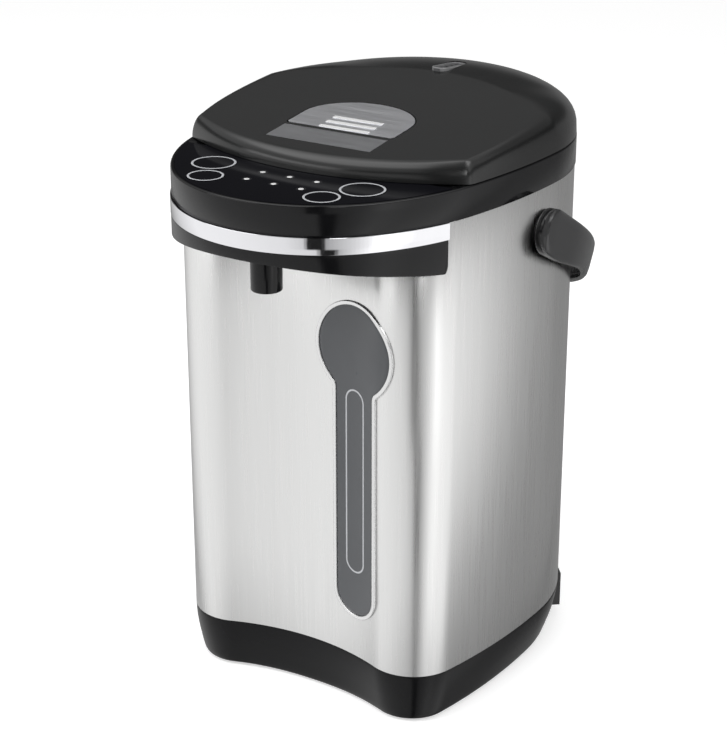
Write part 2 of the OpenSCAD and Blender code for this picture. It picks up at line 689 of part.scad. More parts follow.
// Inner pot and what hangs under it
drain_r = 5;
pump_top_z = 71;
pump_neck_z = pump_top_z + 6;
module at_pump() translate([pump_at[0], -pump_at[1], 0]) children();
heater_z = pot_floor_z - pot_t - heater_t;
module inner_pot() color([0.82, 0.82, 0.83]) difference() {
    union() {
        disc(pot_r + pot_t, pot_floor_z - pot_t, rim_z);
        disc(ring_screw_r - 2.6, rim_z - pot_t, rim_z);
        at_pump() disc(drain_r, pump_neck_z + 2, pot_floor_z - pot_t + eps);
    }
    disc(pot_r, pot_floor_z, rim_z + 1);
    at_pump() disc(drain_r - 1, pump_neck_z, pot_floor_z + 1);
}
module pot_seal() color([0.75, 0.75, 0.72])
    washer(ring_screw_r - 2.6, pot_r, rim_z, deck_under_z);
module pot_ring() color([0.15, 0.15, 0.16]) difference() {
    washer(ring_r, pot_r + pot_t, ring_z[0], ring_z[1]);
    at_ring_screws() disc(screw_r, ring_z[0] - 1, ring_z[1] + 1);
}
jacket_z = [pot_floor_z + 8, ring_z[0] - 40];
module insulation_jacket() color([0.9, 0.88, 0.8])
    washer(pot_r + pot_t + 7, pot_r + pot_t + 1.6, jacket_z[0], jacket_z[1]);
module keep_warm_band() color([0.6, 0.55, 0.45])
    washer(pot_r + pot_t + 1.2, pot_r + pot_t, pot_floor_z + 16, pot_floor_z + 56);
module boil_heater() color([0.55, 0.55, 0.56]) difference() {
    disc(heater_r, heater_z, heater_z + heater_t);
    at_pump() disc(drain_r + 3, heater_z - 1, heater_z + heater_t + 1);
}
module temperature_sensor() color([0.3, 0.3, 0.32]) {
    disc(6, heater_z - 6, heater_z);
    disc(2, heater_z - 12, heater_z - 6);
}
cutout_at = [34, 18];
module boil_dry_cutout() color([0.7, 0.65, 0.5]) translate(cutout_at) {
    disc(9, heater_z - 5, heater_z);
    for (s = [-1, 1]) block([s * 6 - 1, -2.5, heater_z - 13], [s * 6 + 1, 2.5, heater_z - 5]);
}

// Pump: motor below, magnet coupling, impeller in a closed chamber
chamber_z = 56;
cover_z = chamber_z - 3;
bracket_z = cover_z - 5;
motor_z = [bracket_z - 30, bracket_z];
outlet_a = -62;
outlet_z = (chamber_z + pump_top_z) / 2 - 1;
module inlet_hose() color([0.85, 0.85, 0.83]) at_pump()
    washer(drain_r + 2, drain_r, pump_top_z, pot_floor_z - pot_t - 0.8);
module pump_body() color([0.85, 0.85, 0.82]) at_pump() difference() {
    union() {
        disc(pump_r, chamber_z, pump_top_z);
        disc(drain_r, pump_top_z - 1, pump_neck_z);
        rotate([0, 0, outlet_a]) translate([0, 0, outlet_z]) rotate([0, 90, 0])
            cylinder(r = hose_r[1], h = pump_r + 8);
    }
    disc(pump_r - 2, chamber_z - 1, pump_top_z - 2);
    disc(drain_r - 1, chamber_z, pump_neck_z + 1);
    rotate([0, 0, outlet_a]) translate([pump_r - 6, 0, outlet_z]) rotate([0, 90, 0])
        cylinder(r = hose_r[0], h = 20);
}
module pump_cover() color([0.8, 0.8, 0.78]) at_pump() disc(pump_r, cover_z, chamber_z);
module impeller() color([0.9, 0.9, 0.9]) at_pump() {
    disc(14, chamber_z + 0.8, chamber_z + 4);
    disc(3, chamber_z + 3, chamber_z + 10);
    for (a = [0 : 60 : 300]) rotate([0, 0, a])
        translate([2, -0.8, chamber_z + 3]) cube([11, 1.6, 6]);
}
module drive_magnet() color([0.35, 0.35, 0.37]) at_pump() {
    disc(11, bracket_z + 1, cover_z - 0.6);
    disc(1.6, bracket_z + 0.2, cover_z - 1);
}
module pump_motor() color([0.6, 0.6, 0.62]) at_pump() {
    disc(motor_r, motor_z[0], motor_z[1]);
    disc(5, motor_z[0] - 2, motor_z[0]);
}
module pump_bracket() color([0.85, 0.85, 0.82]) at_pump() {
    washer(pump_r + 1, motor_r - 3, bracket_z, cover_z);
    for (a = [30, 150, 270]) rotate([0, 0, a])
        translate([motor_r + 3.6, 0, 0]) disc(2.6, cover_seat_z, bracket_z + 1);
}
riser_start = [pump_at[0] + (pump_r + 8) * cos(outlet_a), -pump_at[1] + (pump_r + 8) * sin(outlet_a)];
module riser_hose() color([0.85, 0.85, 0.83])
    hose(bend([[riser_start[0], riser_start[1], outlet_z],
        [riser_start[0] + 14 * cos(outlet_a), riser_start[1] + 14 * sin(outlet_a), outlet_z],
        [0, -96, outlet_z], [window_x, tube_y, outlet_z + 2],
        [window_x, tube_y, tube_z[0] - 12], [window_x, tube_y, tube_z[0]]]),
        hose_r[0], hose_r[1]);
module power_board() color([0.1, 0.35, 0.2]) {
    block([3, -33, board_z], [68, 39, board_z + 1.6]);
    block([12, -20, board_z + 1.6], [30, -6, board_z + 17]);
    translate([48, -14, 0]) disc(8, board_z + 1.6, board_z + 24);
    block([14, 8, board_z + 1.6], [46, 13, board_z + 26]);
    block([50, 4, board_z + 1.6], [66, 26, board_z + 15]);
}

// Power inlet
module inlet_housing() color([0.05, 0.05, 0.055]) at_inlet() difference() {
    union() {
        inlet_block(inlet_face[0], inlet_face[1], -inlet_in, 1.5);
        intersection() {
            inlet_block(inlet_face[0], inlet_face[1], 0, inlet_out);
            translate([-20, 0, 0]) cylinder(r = 20 + inlet_out, h = 60, center = true);
        }
    }
    inlet_block(socket[0], socket[1], inlet_out - socket_depth, inlet_out + 1);
}
module inlet_pins() color([0.8, 0.78, 0.7]) at_inlet()
    for (y = [-8, 0, 8]) translate([0, y, 0])
        inlet_block(1.6, 5, inlet_out - socket_depth, inlet_out - 5);

// Handle: a bent strap on two pins, drawn level behind the pivots and then let down
boss_out = 4.6;
side_at_pivot = side_c[0] + sqrt(pow(side_r, 2) - pow(pivot_y, 2));
arm_x = [handle_half - strap_t / 2, handle_half + strap_t / 2];
module handle_bosses() color([0.04, 0.04, 0.045]) difference() {
    both_sides(boss_r, body_r - 12, arm_x[0] - 0.5, -pivot_y, pivot_z);
    prism(BODY, 0, 0, deck_z);
    pivot_holes(pivot_r);
}
module handle_pins() color([0.05, 0.05, 0.055]) {
    both_sides(pivot_r, body_r - 6.5, arm_x[1] + 0.4, -pivot_y, pivot_z);
    both_sides(8, arm_x[1] + 0.3, arm_x[1] + 2.6, -pivot_y, pivot_z);
    both_sides(7, body_r - 5.5, body_r - 3.1, -pivot_y, pivot_z);
}
function handle_mid(t) = [handle_half * cos(t), handle_arm + (handle_reach - handle_arm) * sin(t), 0];
function handle_out(t) = unit([cos(t) / handle_half, sin(t) / (handle_reach - handle_arm), 0]);
strap_c = 1.3;
strap_ring = [[strap_t / 2, strap_w / 2 - strap_c], [strap_t / 2 - strap_c, strap_w / 2],
    [-strap_t / 2 + strap_c, strap_w / 2], [-strap_t / 2, strap_w / 2 - strap_c],
    [-strap_t / 2, -strap_w / 2 + strap_c], [-strap_t / 2 + strap_c, -strap_w / 2],
    [strap_t / 2 - strap_c, -strap_w / 2], [strap_t / 2, -strap_w / 2 + strap_c]];
function ease(k) = k * k * (3 - 2 * k);
function lower_rise(v) = strap_rise * ease(min(1, max(0, (v - 5) / 70)));
function handle_ring(t, back = 0) =
    [for (q = strap_ring) let (m = handle_mid(t))
        m + handle_out(t) * q[0] + [0, -back, q[1] + (q[1] < 0 ? lower_rise(m[1] - back) : 0)]];
module handle() color([0.06, 0.06, 0.065])
    translate([0, -pivot_y, pivot_z]) rotate([-handle_hang, 0, 0]) difference() {
        union() {
            skin(concat([for (b = [handle_arm, handle_arm / 2]) handle_ring(0, b)],
                [for (t = [0 : 6 : 180]) handle_ring(t)],
                [for (b = [handle_arm / 2, handle_arm]) handle_ring(180, b)]));
            both_sides(strap_w / 2, arm_x[0], arm_x[1], 0, 0);
        }
        across(pivot_r + pivot_play, -wide, wide, 0, 0);
    }

// Lid: inside its crease the top is a plane rising towards the rear; outside it the lid rounds down
// Height of the crown at the pot axis
crown_h = crown_front + crown_slope * lid_front_y;
function top_z(p) = deck_z + crown_h + crown_slope * p[1];
crease_side = 9;
crease_corner = 3;
corner_end = [pot_r - 1.2, pot_r - 5.2];
// Distance from a rim point to the crease, square to the rim
function crease_in(p) =
    p[1] < -corner_end[1] && abs(p[0]) < corner_end[0]
    ? crease_corner + (crease_front - crease_corner) * (1 - pow(p[0] / corner_end[0], 2))
    : let (y = max(0, p[1]), r = norm([p[0], y]), c = p[0] / r, s = y / r, a = crease_bend * c * c,
           rc = a < 0.000001 ? crease_y / s : (sqrt(s * s + 4 * a * crease_y) - s) / (2 * a),
           d = r - rc, e = (d + crease_side + sqrt(pow(d - crease_side, 2) + 16)) / 2)
      crease_corner + (e - crease_corner) * pow(1 - min(1, max(0, -p[1] / corner_end[1])), 1.4);
function rounding(f) = pow(1 - pow(1 - f, lid_fullness), 1 / lid_fullness);
lid_steps = [0, 0.02, 0.06, 0.12, 0.2, 0.3, 0.42, 0.56, 0.72, 0.88, 1];
lid_mid = [0, -30];
function lid_at(r, f, inset) = r[0] - (inset + crease_in(r[0]) * f) * r[1];
function lid_ring(f, inset, z0, sink) =
    [for (r = rim(LID)) let (p = lid_at(r, f, inset)) [p[0], p[1], z0 + (top_z(p) - sink - z0) * rounding(f)]];
function lid_cap(k, inset, sink) =
    [for (r = rim(LID)) let (m = lid_mid + k * (lid_at(r, 1, inset) - lid_mid)) [m[0], m[1], top_z(m) - sink]];
module lid_solid(inset, z0, sink)
    skin(concat([for (f = lid_steps) lid_ring(f, inset, z0, sink)],
        [for (k = [0.75, 0.5, 0.25]) lid_cap(k, inset, sink)]));
// Height of the lid's top on the centre line
function ridge_z(y) = lid_z + (top_z([0, y]) - lid_z) * rounding(min(1, (lid_r - y) / (lid_r - crease_y)));

hinge_z = deck_z + hinge_up;
ear_x = [17, 25];
ear_r = 4.5;
knuckle_gap = 0.4;
pin_play = 0.06;
sweep_r = hinge_up - 0.5;
// What the turning lid must leave free: two slots for the ears and the space behind and below the axis
module hinge_relief() {
    for (s = [-1, 1]) block([min(s * (ear_x[0] - knuckle_gap), s * (ear_x[1] + knuckle_gap)),
        hinge_y - ear_r - 0.7, deck_z - 1], [max(s * (ear_x[0] - knuckle_gap), s * (ear_x[1] + knuckle_gap)),
        hinge_y + 20, hinge_z + ear_r + 1]);
    difference() {
        block([-48, hinge_y, deck_z - 1], [48, hinge_y + 20, hinge_z]);
        across(sweep_r, -50, 50, hinge_y, hinge_z);
    }
}
// The lid's top near a place ahead of the axis, as a tilted plane
slope_a = atan(crown_slope);
module on_top() translate([0, 0, deck_z + crown_h]) rotate([slope_a, 0, 0]) children();
function along(y) = -y / cos(slope_a);
module plate_shape(grow) translate([-latch_half + 1 - grow, along(plate_y[0]) - grow])
    square([2 * (latch_half - 1 + grow), along(plate_y[1]) - along(plate_y[0]) + 2 * grow]);
function lever_half(grow) =
    let (y0 = along(lever_front) - grow, y1 = along(lever_front) + lever_side)
    concat([[latch_half + grow - 2, y0], [latch_half + grow, y0 + 2]],
        [for (a = [0 : 7.5 : 90]) [(latch_half + grow) * cos(a), y1 + (lever_round + grow) * sin(a)]]);
module lever_shape(grow) {
    h = lever_half(grow);
    n = len(h);
    polygon(concat(h, [for (i = [n - 2 : -1 : 0]) [-h[i][0], h[i][1]]]));
}
tray_wall = 1.6;
lever_t = 3;
tray_floor = [-7.4, -6.2];
lever_axis_t = -3;
arm_room = 10.2 + 13 * sin(lever_open);
lever_axis_y = along(lever_front) + lever_side + lever_round - 8;
vent_y = 60;
vent_half = [6, 17];
vent_lift = 1.2;
module vent_shape(grow) {
    for (s = [-1, 1]) translate([0, s * (vent_half[1] - vent_half[0])]) circle(vent_half[0] + grow);
    translate([-vent_half[0] - grow, -vent_half[1] + vent_half[0]])
        square([2 * (vent_half[0] + grow), 2 * (vent_half[1] - vent_half[0])]);
}
vent_a = atan((ridge_z(vent_y + vent_half[1]) - ridge_z(vent_y - vent_half[1])) / (2 * vent_half[1]));
module at_vent() translate([0, vent_y, ridge_z(vent_y) - 0.2]) rotate([vent_a, 0, 0]) children();

module lid_cover() color([0.05, 0.05, 0.055]) difference() {
    union() {
        difference() {
            lid_solid(0, lid_z, 0);
            lid_solid(lid_t, lid_z - 1, lid_t);
        }
        at_lid_screws() difference() {
            disc(3, liner_z[1], deck_z + crown_h - 7);
            disc(1.3, liner_z[1] - 1, liner_z[1] + 7);
        }
    }
    on_top() translate([0, 0, -lid_t - 8]) linear_extrude(lid_t + 16) {
        plate_shape(0);
        lever_shape(lever_gap);
    }
    at_vent() translate([0, 0, -10]) linear_extrude(20) vent_shape(0);
    hinge_relief();
    across(ear_r + 0.3, -ear_x[0], ear_x[0], hinge_y, hinge_z);
}
liner_z = [lid_z + 0.6, lid_z + 2.6];
plug_z = deck_z - plug_depth;
valve_at = [0, vent_y];
valve_r = 11;
bolt_z = [liner_z[1] + 0.4, liner_z[1] + 2.9];
spring_y = 66 - lid_front_y;
lid_screw_at = 62;
module at_lid_screws()
    for (a = [45 : 90 : 315]) rotate([0, 0, a]) translate([lid_screw_at, 0, 0]) children();
keeper_y = [7.8 + bolt_travel - lid_front_y, 17 - lid_front_y];
module lid_liner() color([0.2, 0.2, 0.21]) difference() {
    union() {
        prism(LID, lid_t + 1.2, liner_z[0], liner_z[1]);
        washer(plug_r, plug_r - 2, plug_z, liner_z[0] + eps);
        at_lid_screws() disc(4, plug_z, liner_z[0] + eps);
        block([-4, spring_y - 3, liner_z[1] - eps], [4, spring_y, liner_z[1] + 6.2]);
        block([-ear_x[0] + knuckle_gap, hinge_y - ear_r, liner_z[0]],
            [ear_x[0] - knuckle_gap, hinge_y - 2, hinge_z]);
        across(ear_r, -ear_x[0] + knuckle_gap, ear_x[0] - knuckle_gap, hinge_y, hinge_z);
    }
    at_lid_screws() disc(screw_r, plug_z - 1, liner_z[1] + 1);
    translate(valve_at) disc(valve_r, plug_z - 1, liner_z[1] + 1);
    block([-9, keeper_y[0] - 2, lid_z - 2], [9, keeper_y[1] + 5, liner_z[1] + 1]);
    across(hinge_pin_r + pin_play, -60, 60, hinge_y, hinge_z);
    hinge_relief();
}
module inner_lid() color([0.8, 0.8, 0.81]) difference() {
    disc(plug_r, plug_z - 1.2, plug_z);
    at_lid_screws() disc(screw_r, plug_z - 3, plug_z + 1);
    for (a = [0 : 60 : 300]) translate(valve_at) rotate([0, 0, a]) translate([6, 0, 0])
        disc(1.6, plug_z - 3, plug_z + 1);
}
module lid_gasket() color([0.75, 0.75, 0.72])
    washer(plug_r + 2.2, plug_r, plug_z + 1, plug_z + 4);
module lid_screws() color([0.7, 0.7, 0.72]) at_lid_screws() {
    disc(screw_r, plug_z - 1.2, liner_z[1] - 0.4);
    disc(2.8, plug_z - 2.6, plug_z - 1.2);
}
vent_sink = 6;
valve_top = ridge_z(vent_y) - vent_sink - 2;
module steam_valve() color([0.85, 0.85, 0.82]) translate(valve_at) difference() {
    disc(valve_r, plug_z, valve_top);
    disc(valve_r - 2, plug_z - 1, valve_top - 2);
    disc(4, valve_top - 4, valve_top + 1);
}
module vent_cap() color([0.12, 0.12, 0.125]) difference() {
    at_vent() translate([0, 0, -vent_sink]) linear_extrude(vent_sink + vent_lift) difference() {
        vent_shape(0);
        for (i = [-1.5 : 1.5]) translate([0, i * 7]) polygon(oval([3.4, 2.4], 0));
    }
}
module latch_plate() color([0.62, 0.63, 0.65]) on_top() {
    rear = along(plate_y[1]);
    translate([0, 0, -2.2]) linear_extrude(2.2) plate_shape(-0.2);
    block([-20, rear - 14, tray_floor[1]], [20, rear - 0.2, -2]);
    translate([0, 0, tray_floor[0]]) linear_extrude(tray_floor[1] - tray_floor[0]) difference() {
        union() {
            intersection() {
                lever_shape(lever_gap);
                translate([-60, along(lever_front) - 4]) square([120, 60]);
            }
            translate([-20, rear - 14]) square([40, 24]);
        }
        translate([-3.4, lever_axis_y - arm_room]) square([6.8, arm_room + 6]);
    }
    for (s = [-1, 1]) difference() {
        union() {
            block([min(s * 10.4, s * 13.4), lever_axis_y - 2.1, tray_floor[1] - eps],
                [max(s * 10.4, s * 13.4), lever_axis_y + 2.1, lever_axis_t]);
            translate([0, 0, lever_axis_t])
                across(2.1, min(s * 10.4, s * 13.4), max(s * 10.4, s * 13.4), lever_axis_y, 0);
        }
        translate([0, 0, lever_axis_t]) across(1.25, -14, 14, lever_axis_y, 0);
    }
}
module latch_lever() color([0.62, 0.63, 0.65]) on_top() difference() {
    union() {
        difference() {
            translate([0, 0, -lever_t]) linear_extrude(lever_t) lever_shape(0);
            for (s = [-1, 1]) block([min(s * 10, s * 13.8), lever_axis_y - 3.6, -lever_t - 1],
                [max(s * 10, s * 13.8), lever_axis_y + 3.6, -0.8]);
        }
        translate([0, 0, lever_axis_t]) {
            across(2.6, -10, -5, lever_axis_y, 0);
            across(2.6, 5, 10, lever_axis_y, 0);
        }
        block([-2.4, lever_axis_y - 1.3, lever_axis_t - 10], [2.4, lever_axis_y + 1.3, -1]);
        for (i = [0 : 2]) translate([2.5, along(lever_front) + 2.4 + 8.1 * i, -1])
            block([-18, -1.5, 0], [18, 1.5, 1.4]);
    }
    translate([0, 0, lever_axis_t]) across(1.3, -14, 14, lever_axis_y, 0);
}
module lever_pin() color([0.7, 0.7, 0.72]) on_top()
    translate([0, 0, lever_axis_t]) across(1.25, -13.4, 13.4, lever_axis_y, 0);
function on_top_z(s, t) = deck_z + crown_h + s * sin(slope_a) + t * cos(slope_a);
function on_top_y(s, t) = s * cos(slope_a) - t * sin(slope_a);
lever_axis = [on_top_y(lever_axis_y, lever_axis_t), on_top_z(lever_axis_y, lever_axis_t)];
// The arm's front face, where the bolt's post waits for it
arm_y = lever_axis[0] - 1.3 * cos(slope_a) - 0.3;
post_y = [arm_y - 3.2 + 10 * sin(slope_a), arm_y - 0.8 + 10 * sin(slope_a)];
module latch_bolt() color([0.7, 0.7, 0.68]) difference() {
    union() {
        block([-9, keeper_y[0] - 2.6, bolt_z[0]], [9, post_y[1], bolt_z[1]]);
        block([-2.6, post_y[0], bolt_z[0]], [2.6, post_y[1], lever_axis[1] - 8.6]);
    }
    block([-6, keeper_y[0] - 0.4, bolt_z[0] - 1], [6, keeper_y[1] + 5, bolt_z[1] + 1]);
    block([-4.6, spring_y - 4, bolt_z[0] - 1], [4.6, spring_y + 5, bolt_z[1] + 1]);
}
spring_turns = 7;
spring_ri = 1.3;
module latch_spring() color([0.75, 0.75, 0.77]) {
    y0 = spring_y + 0.6;
    y1 = post_y[0] - 0.6;
    z = bolt_z[1] + 1.9;
    hose([for (i = [0 : spring_turns * 10])
        [spring_ri * cos(36 * i), y0 + (y1 - y0) * i / (spring_turns * 10), z + spring_ri * sin(36 * i)]],
        0.1, 0.3, 5);
}
module latch_keeper() color([0.6, 0.6, 0.62]) {
    block([-5, keeper_y[1] - 3, deck_z], [5, keeper_y[1], bolt_z[1] + 2]);
    block([-5, keeper_y[0], bolt_z[1] + 0.6], [5, keeper_y[1], bolt_z[1] + 2]);
    block([-5, keeper_y[1] - 3, deck_z], [5, keeper_y[1] + 5, deck_z + 0.5]);
}
module hinge_bracket() color([0.05, 0.05, 0.055]) difference() {
    for (s = [-1, 1]) {
        block([min(s * ear_x[0], s * ear_x[1]), hinge_y - ear_r, deck_z],
            [max(s * ear_x[0], s * ear_x[1]), hinge_y + ear_r, hinge_z]);
        across(ear_r, min(s * ear_x[0], s * ear_x[1]), max(s * ear_x[0], s * ear_x[1]), hinge_y, hinge_z);
    }
    across(hinge_pin_r, -60, 60, hinge_y, hinge_z);
}
module hinge_pin() color([0.75, 0.75, 0.77]) across(hinge_pin_r, -ear_x[1] + 0.5, ear_x[1] - 0.5, hinge_y, hinge_z);

// The frame's origin is under the middle of the whole pot's box
front_reach = nose_y + visor_out + 0.3;
strap_reach = max((strap_t / 2) * cos(handle_hang) + (strap_w / 2 - strap_c) * sin(handle_hang),
    (strap_t / 2 - strap_c) * cos(handle_hang) + (strap_w / 2) * sin(handle_hang));
rear_reach = handle_reach * cos(handle_hang) - pivot_y + strap_reach;
shift_y = (front_reach - rear_reach) / 2;

translate([0, shift_y, 0]) {
    base_shell();
    bottom_cover();
    rubber_feet();
    bottom_screws();
    body_shell();
    head_shell();
    visor();
    chrome_band();
    control_panel();
    led_lenses();
    control_board();
    key_switches();
    frame_screws();
    spout_nozzle();
    outlet_hose();
    tilt_valve();
    window_frame();
    window_lens();
    level_tube();
    riser_hose();
    inner_pot();
    pot_seal();
    pot_ring();
    insulation_jacket();
    keep_warm_band();
    boil_heater();
    temperature_sensor();
    boil_dry_cutout();
    inlet_hose();
    pump_body();
    pump_cover();
    pump_motor();
    pump_bracket();
    power_board();
    inlet_housing();
    inlet_pins();
    handle_bosses();
    handle_pins();
    latch_keeper();
    hinge_bracket();
    hinge_pin();
    impeller();
    drive_magnet();
    handle();
    lid_cover();
    lid_liner();
    inner_lid();
    lid_gasket();
    lid_screws();
    vent_cap();
    steam_valve();
    latch_plate();
    latch_lever();
    lever_pin();
    latch_bolt();
    latch_spring();
    key_unlock();
    key_reboil();
    key_warm();
    key_pour();
}
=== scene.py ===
import math

import bpy
import numpy as np
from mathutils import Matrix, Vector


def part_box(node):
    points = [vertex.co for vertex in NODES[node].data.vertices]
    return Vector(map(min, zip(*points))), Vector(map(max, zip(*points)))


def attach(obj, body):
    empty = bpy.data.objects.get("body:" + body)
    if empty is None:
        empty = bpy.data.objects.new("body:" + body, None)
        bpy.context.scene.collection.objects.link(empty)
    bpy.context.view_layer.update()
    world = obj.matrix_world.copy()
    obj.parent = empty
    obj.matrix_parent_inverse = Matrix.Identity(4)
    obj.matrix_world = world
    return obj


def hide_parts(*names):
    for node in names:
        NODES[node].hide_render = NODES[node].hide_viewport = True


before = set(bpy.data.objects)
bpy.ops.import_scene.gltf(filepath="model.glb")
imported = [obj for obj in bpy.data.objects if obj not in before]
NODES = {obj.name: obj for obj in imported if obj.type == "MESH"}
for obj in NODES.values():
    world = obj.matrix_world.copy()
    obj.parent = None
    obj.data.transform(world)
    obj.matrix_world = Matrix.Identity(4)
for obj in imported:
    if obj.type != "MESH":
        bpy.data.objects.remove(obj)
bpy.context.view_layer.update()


# ------------------------ places, in millimetres
def corners(part):
    """Lowest and highest corner of a CAD node, in millimetres."""
    low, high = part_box(part)
    return np.array(low) * 1000, np.array(high) * 1000


def middle(part):
    """Middle of a CAD node's box, in millimetres."""
    low, high = corners(part)
    return (low + high) / 2


AXIS_Y = middle("inner_pot")[1]


def plan_place(part):
    """Place (x, y) of a CAD node's middle, seen from above and measured from the pot's axis."""
    return middle(part)[:2] - [0, AXIS_Y]


BASE_Z, HEAD_Z = (corner[2] for corner in corners("body_shell"))
DECK_Z, LID_Z = corners("head_shell")[1][2], corners("lid_cover")[0][2]

# arcs of the body, the head and the lid seen from above: their radii, and how far ahead of the axis
# the body's corners and waist, the head's nose and the lid's front lie
BODY_R, SIDE_R = 112.5, 420.0
CORNER_R, CORNER_Y, WAIST_Y = 32.0, 95.5, 114.8
HEAD_R = BODY_R + 0.6
NOSE_R, NOSE_Y, SHOULDER_R = 94.0, 187.6, 150.0
LID_R, LID_CORNER_R, LID_FRONT_R, LID_FRONT_Y = HEAD_R - 0.2, 8.0, 190.0, 122.0
# the lid's plane: how fast it rises towards the rear, and its height over the deck on the axis
CROWN_SLOPE = 0.107
CROWN_H = 10.8 + CROWN_SLOPE * LID_FRONT_Y


# ------------------------ outlines
def meet(a, da, b, db):
    """The right-hand point that lies da from a and db from b."""
    a, b = np.array(a, float), np.array(b, float)
    d = np.linalg.norm(b - a)
    u = (b - a) / d
    k = (da * da - db * db + d * d) / (2 * d)
    h = math.sqrt(da * da - k * k) * np.array([-u[1], u[0]])
    p, q = a + k * u + h, a + k * u - h
    return p if p[0] > q[0] else q


def heading(a, b):
    """Angle of the line from a to b, in degrees."""
    return math.degrees(math.atan2(b[1] - a[1], b[0] - a[0]))


def body_arcs():
    """Half outline of the steel body, rear to front: round rear, bowed side, corner, hollow front."""
    side = np.array([BODY_R - SIDE_R, 0.0])
    corner = np.array([side[0] + math.sqrt((SIDE_R - CORNER_R) ** 2 - CORNER_Y ** 2), -CORNER_Y])
    gap = WAIST_Y - CORNER_Y
    r = (corner[0] ** 2 + gap ** 2 - CORNER_R ** 2) / (2 * (CORNER_R - gap))
    waist = np.array([0.0, -WAIST_Y - r])
    turn = heading(side, corner)
    return [((0, 0), BODY_R, 1, 90, 0), (side, SIDE_R, 1, 0, turn),
            (corner, CORNER_R, 1, turn, heading(corner, waist)),
            (waist, r, -1, heading(waist, corner), 90)]


def head_arcs():
    """Half outline of the head: round rear, bowed side, shoulder, round nose."""
    side = (HEAD_R - SIDE_R, 0)
    nose = (0, NOSE_R - NOSE_Y)
    shoulder = meet(side, SIDE_R - SHOULDER_R, nose, SHOULDER_R - NOSE_R)
    a, b = heading(side, shoulder), heading(shoulder, nose)
    return [((0, 0), HEAD_R, 1, 90, 0), (side, SIDE_R, 1, 0, a),
            (shoulder, SHOULDER_R, 1, a, b), (nose, NOSE_R, 1, b, -90)]


def lid_arcs():
    """Half outline of the lid: round rear, bowed side, front corner, bowed front edge."""
    side = (LID_R - SIDE_R, 0)
    front = (0, LID_FRONT_R - LID_FRONT_Y)
    corner = meet(side, SIDE_R - LID_CORNER_R, front, LID_FRONT_R - LID_CORNER_R)
    a, b = heading(side, corner), heading(front, corner)
    return [((0, 0), LID_R, 1, 90, 0), (side, SIDE_R, 1, 0, a),
            (corner, LID_CORNER_R, 1, a, b), (front, LID_FRONT_R, 1, b, -90)]


def around(a):
    """Unit vectors (cos, sin) at angles in radians, a row each."""
    return np.stack([np.cos(a), np.sin(a)], 1)


def circle(sides):
    """Unit vectors at even steps once round."""
    return around(np.linspace(0, 2 * np.pi, sides, endpoint=False))


def sweep(first, last, count):
    """Unit vectors at even steps from one angle to another, in degrees."""
    return around(np.radians(np.linspace(first, last, count)))


def same_way(plan):
    """Unit vectors from the pot's axis towards each plan point."""
    return around(np.arctan2(plan[:, 1], plan[:, 0]))


def part_way(v, start, end):
    """How far v has gone from start to end, from 0 to 1."""
    return np.clip((v - start) / (end - start), 0, 1)


def eased(k):
    """A share k with both its ends eased: k^2 (3 - 2 k)."""
    return k * k * (3 - 2 * k)


def outline(arcs, pitch=2.5):
    """Points and outward normals of a closed outline: each arc is centre + radius * (cos, sin),
    cut into steps of about one pitch, and the right half is mirrored to the left."""
    points, normals = [], []
    for centre, radius, sign, first, last in arcs:
        steps = max(6, int(abs(math.radians(last - first)) * radius / pitch))
        u = around(np.radians(first + (last - first) * np.arange(steps) / steps))
        points.append(np.array(centre) + radius * u)
        normals.append(sign * u)
    centre, radius, sign, _, last = arcs[-1]
    end = around(np.radians([last]))
    points.append(np.array(centre) + radius * end)
    normals.append(sign * end)
    p, n = np.concatenate(points), np.concatenate(normals)
    mirror = np.array([-1.0, 1.0])
    return np.concatenate([p, p[-2:0:-1] * mirror]), np.concatenate([n, n[-2:0:-1] * mirror])


BODY, BODY_N = outline(body_arcs())
HEAD, HEAD_N = outline(head_arcs())
LID, LID_N = outline(lid_arcs())


# ------------------------ meshes
def sheet_faces(rows, columns, wrap_rows, wrap_columns):
    """Quads of a grid of points, rows by columns, closed round either way when asked."""
    i = np.arange(rows if wrap_rows else rows - 1)[:, None]
    j = np.arange(columns if wrap_columns else columns - 1)[None, :]
    i2, j2 = (i + 1) % rows, (j + 1) % columns
    quads = [i * columns + j, i * columns + j2, i2 * columns + j2, i2 * columns + j]
    return np.stack([q + 0 * i + 0 * j for q in quads], -1).reshape(-1, 4)


def piece(name, points, faces, material, body="pot", sharp=40, stage=False):
    """A mesh object from points in millimetres about the pot's axis, shaded smooth over every edge that
    bends less than the sharp angle; it rides on a body, or is part of the stage."""
    points = np.asarray(points, float).reshape(-1, 3)
    if not stage:
        points = points + [0, AXIS_Y, 0]
    mesh = bpy.data.meshes.new(name)
    mesh.from_pydata((points / 1000).tolist(), [], [list(f) for f in faces])
    mesh.polygons.foreach_set("use_smooth", [True] * len(mesh.polygons))
    mesh.validate()
    mesh.set_sharp_from_angle(angle=math.radians(sharp))
    made = bpy.data.objects.new(name, mesh)
    bpy.context.scene.collection.objects.link(made)
    mesh.materials.append(material)
    outward(made)
    if stage:
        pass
    else:
        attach(made, body)
    return made


def outward(made):
    """Turns a closed mesh's faces outwards, where its volume, the sum of a . (b x c) / 6 over its
    triangles, is positive."""
    mesh = made.data
    mesh.calc_loop_triangles()
    v = np.empty(len(mesh.vertices) * 3)
    mesh.vertices.foreach_get("co", v)
    t = np.empty(len(mesh.loop_triangles) * 3, int)
    mesh.loop_triangles.foreach_get("vertices", t)
    a, b, c = v.reshape(-1, 3)[t.reshape(-1, 3)].transpose(1, 0, 2)
    if np.einsum("ij,ij->i", a, np.cross(b, c)).sum() < 0:
        mesh.flip_normals()


def hoop(name, rings, material, **how):
    """A closed ring-shaped solid: rings of points follow each other round its section."""
    rings = np.asarray(rings)
    return piece(name, rings, sheet_faces(*rings.shape[:2], True, True), material, **how)


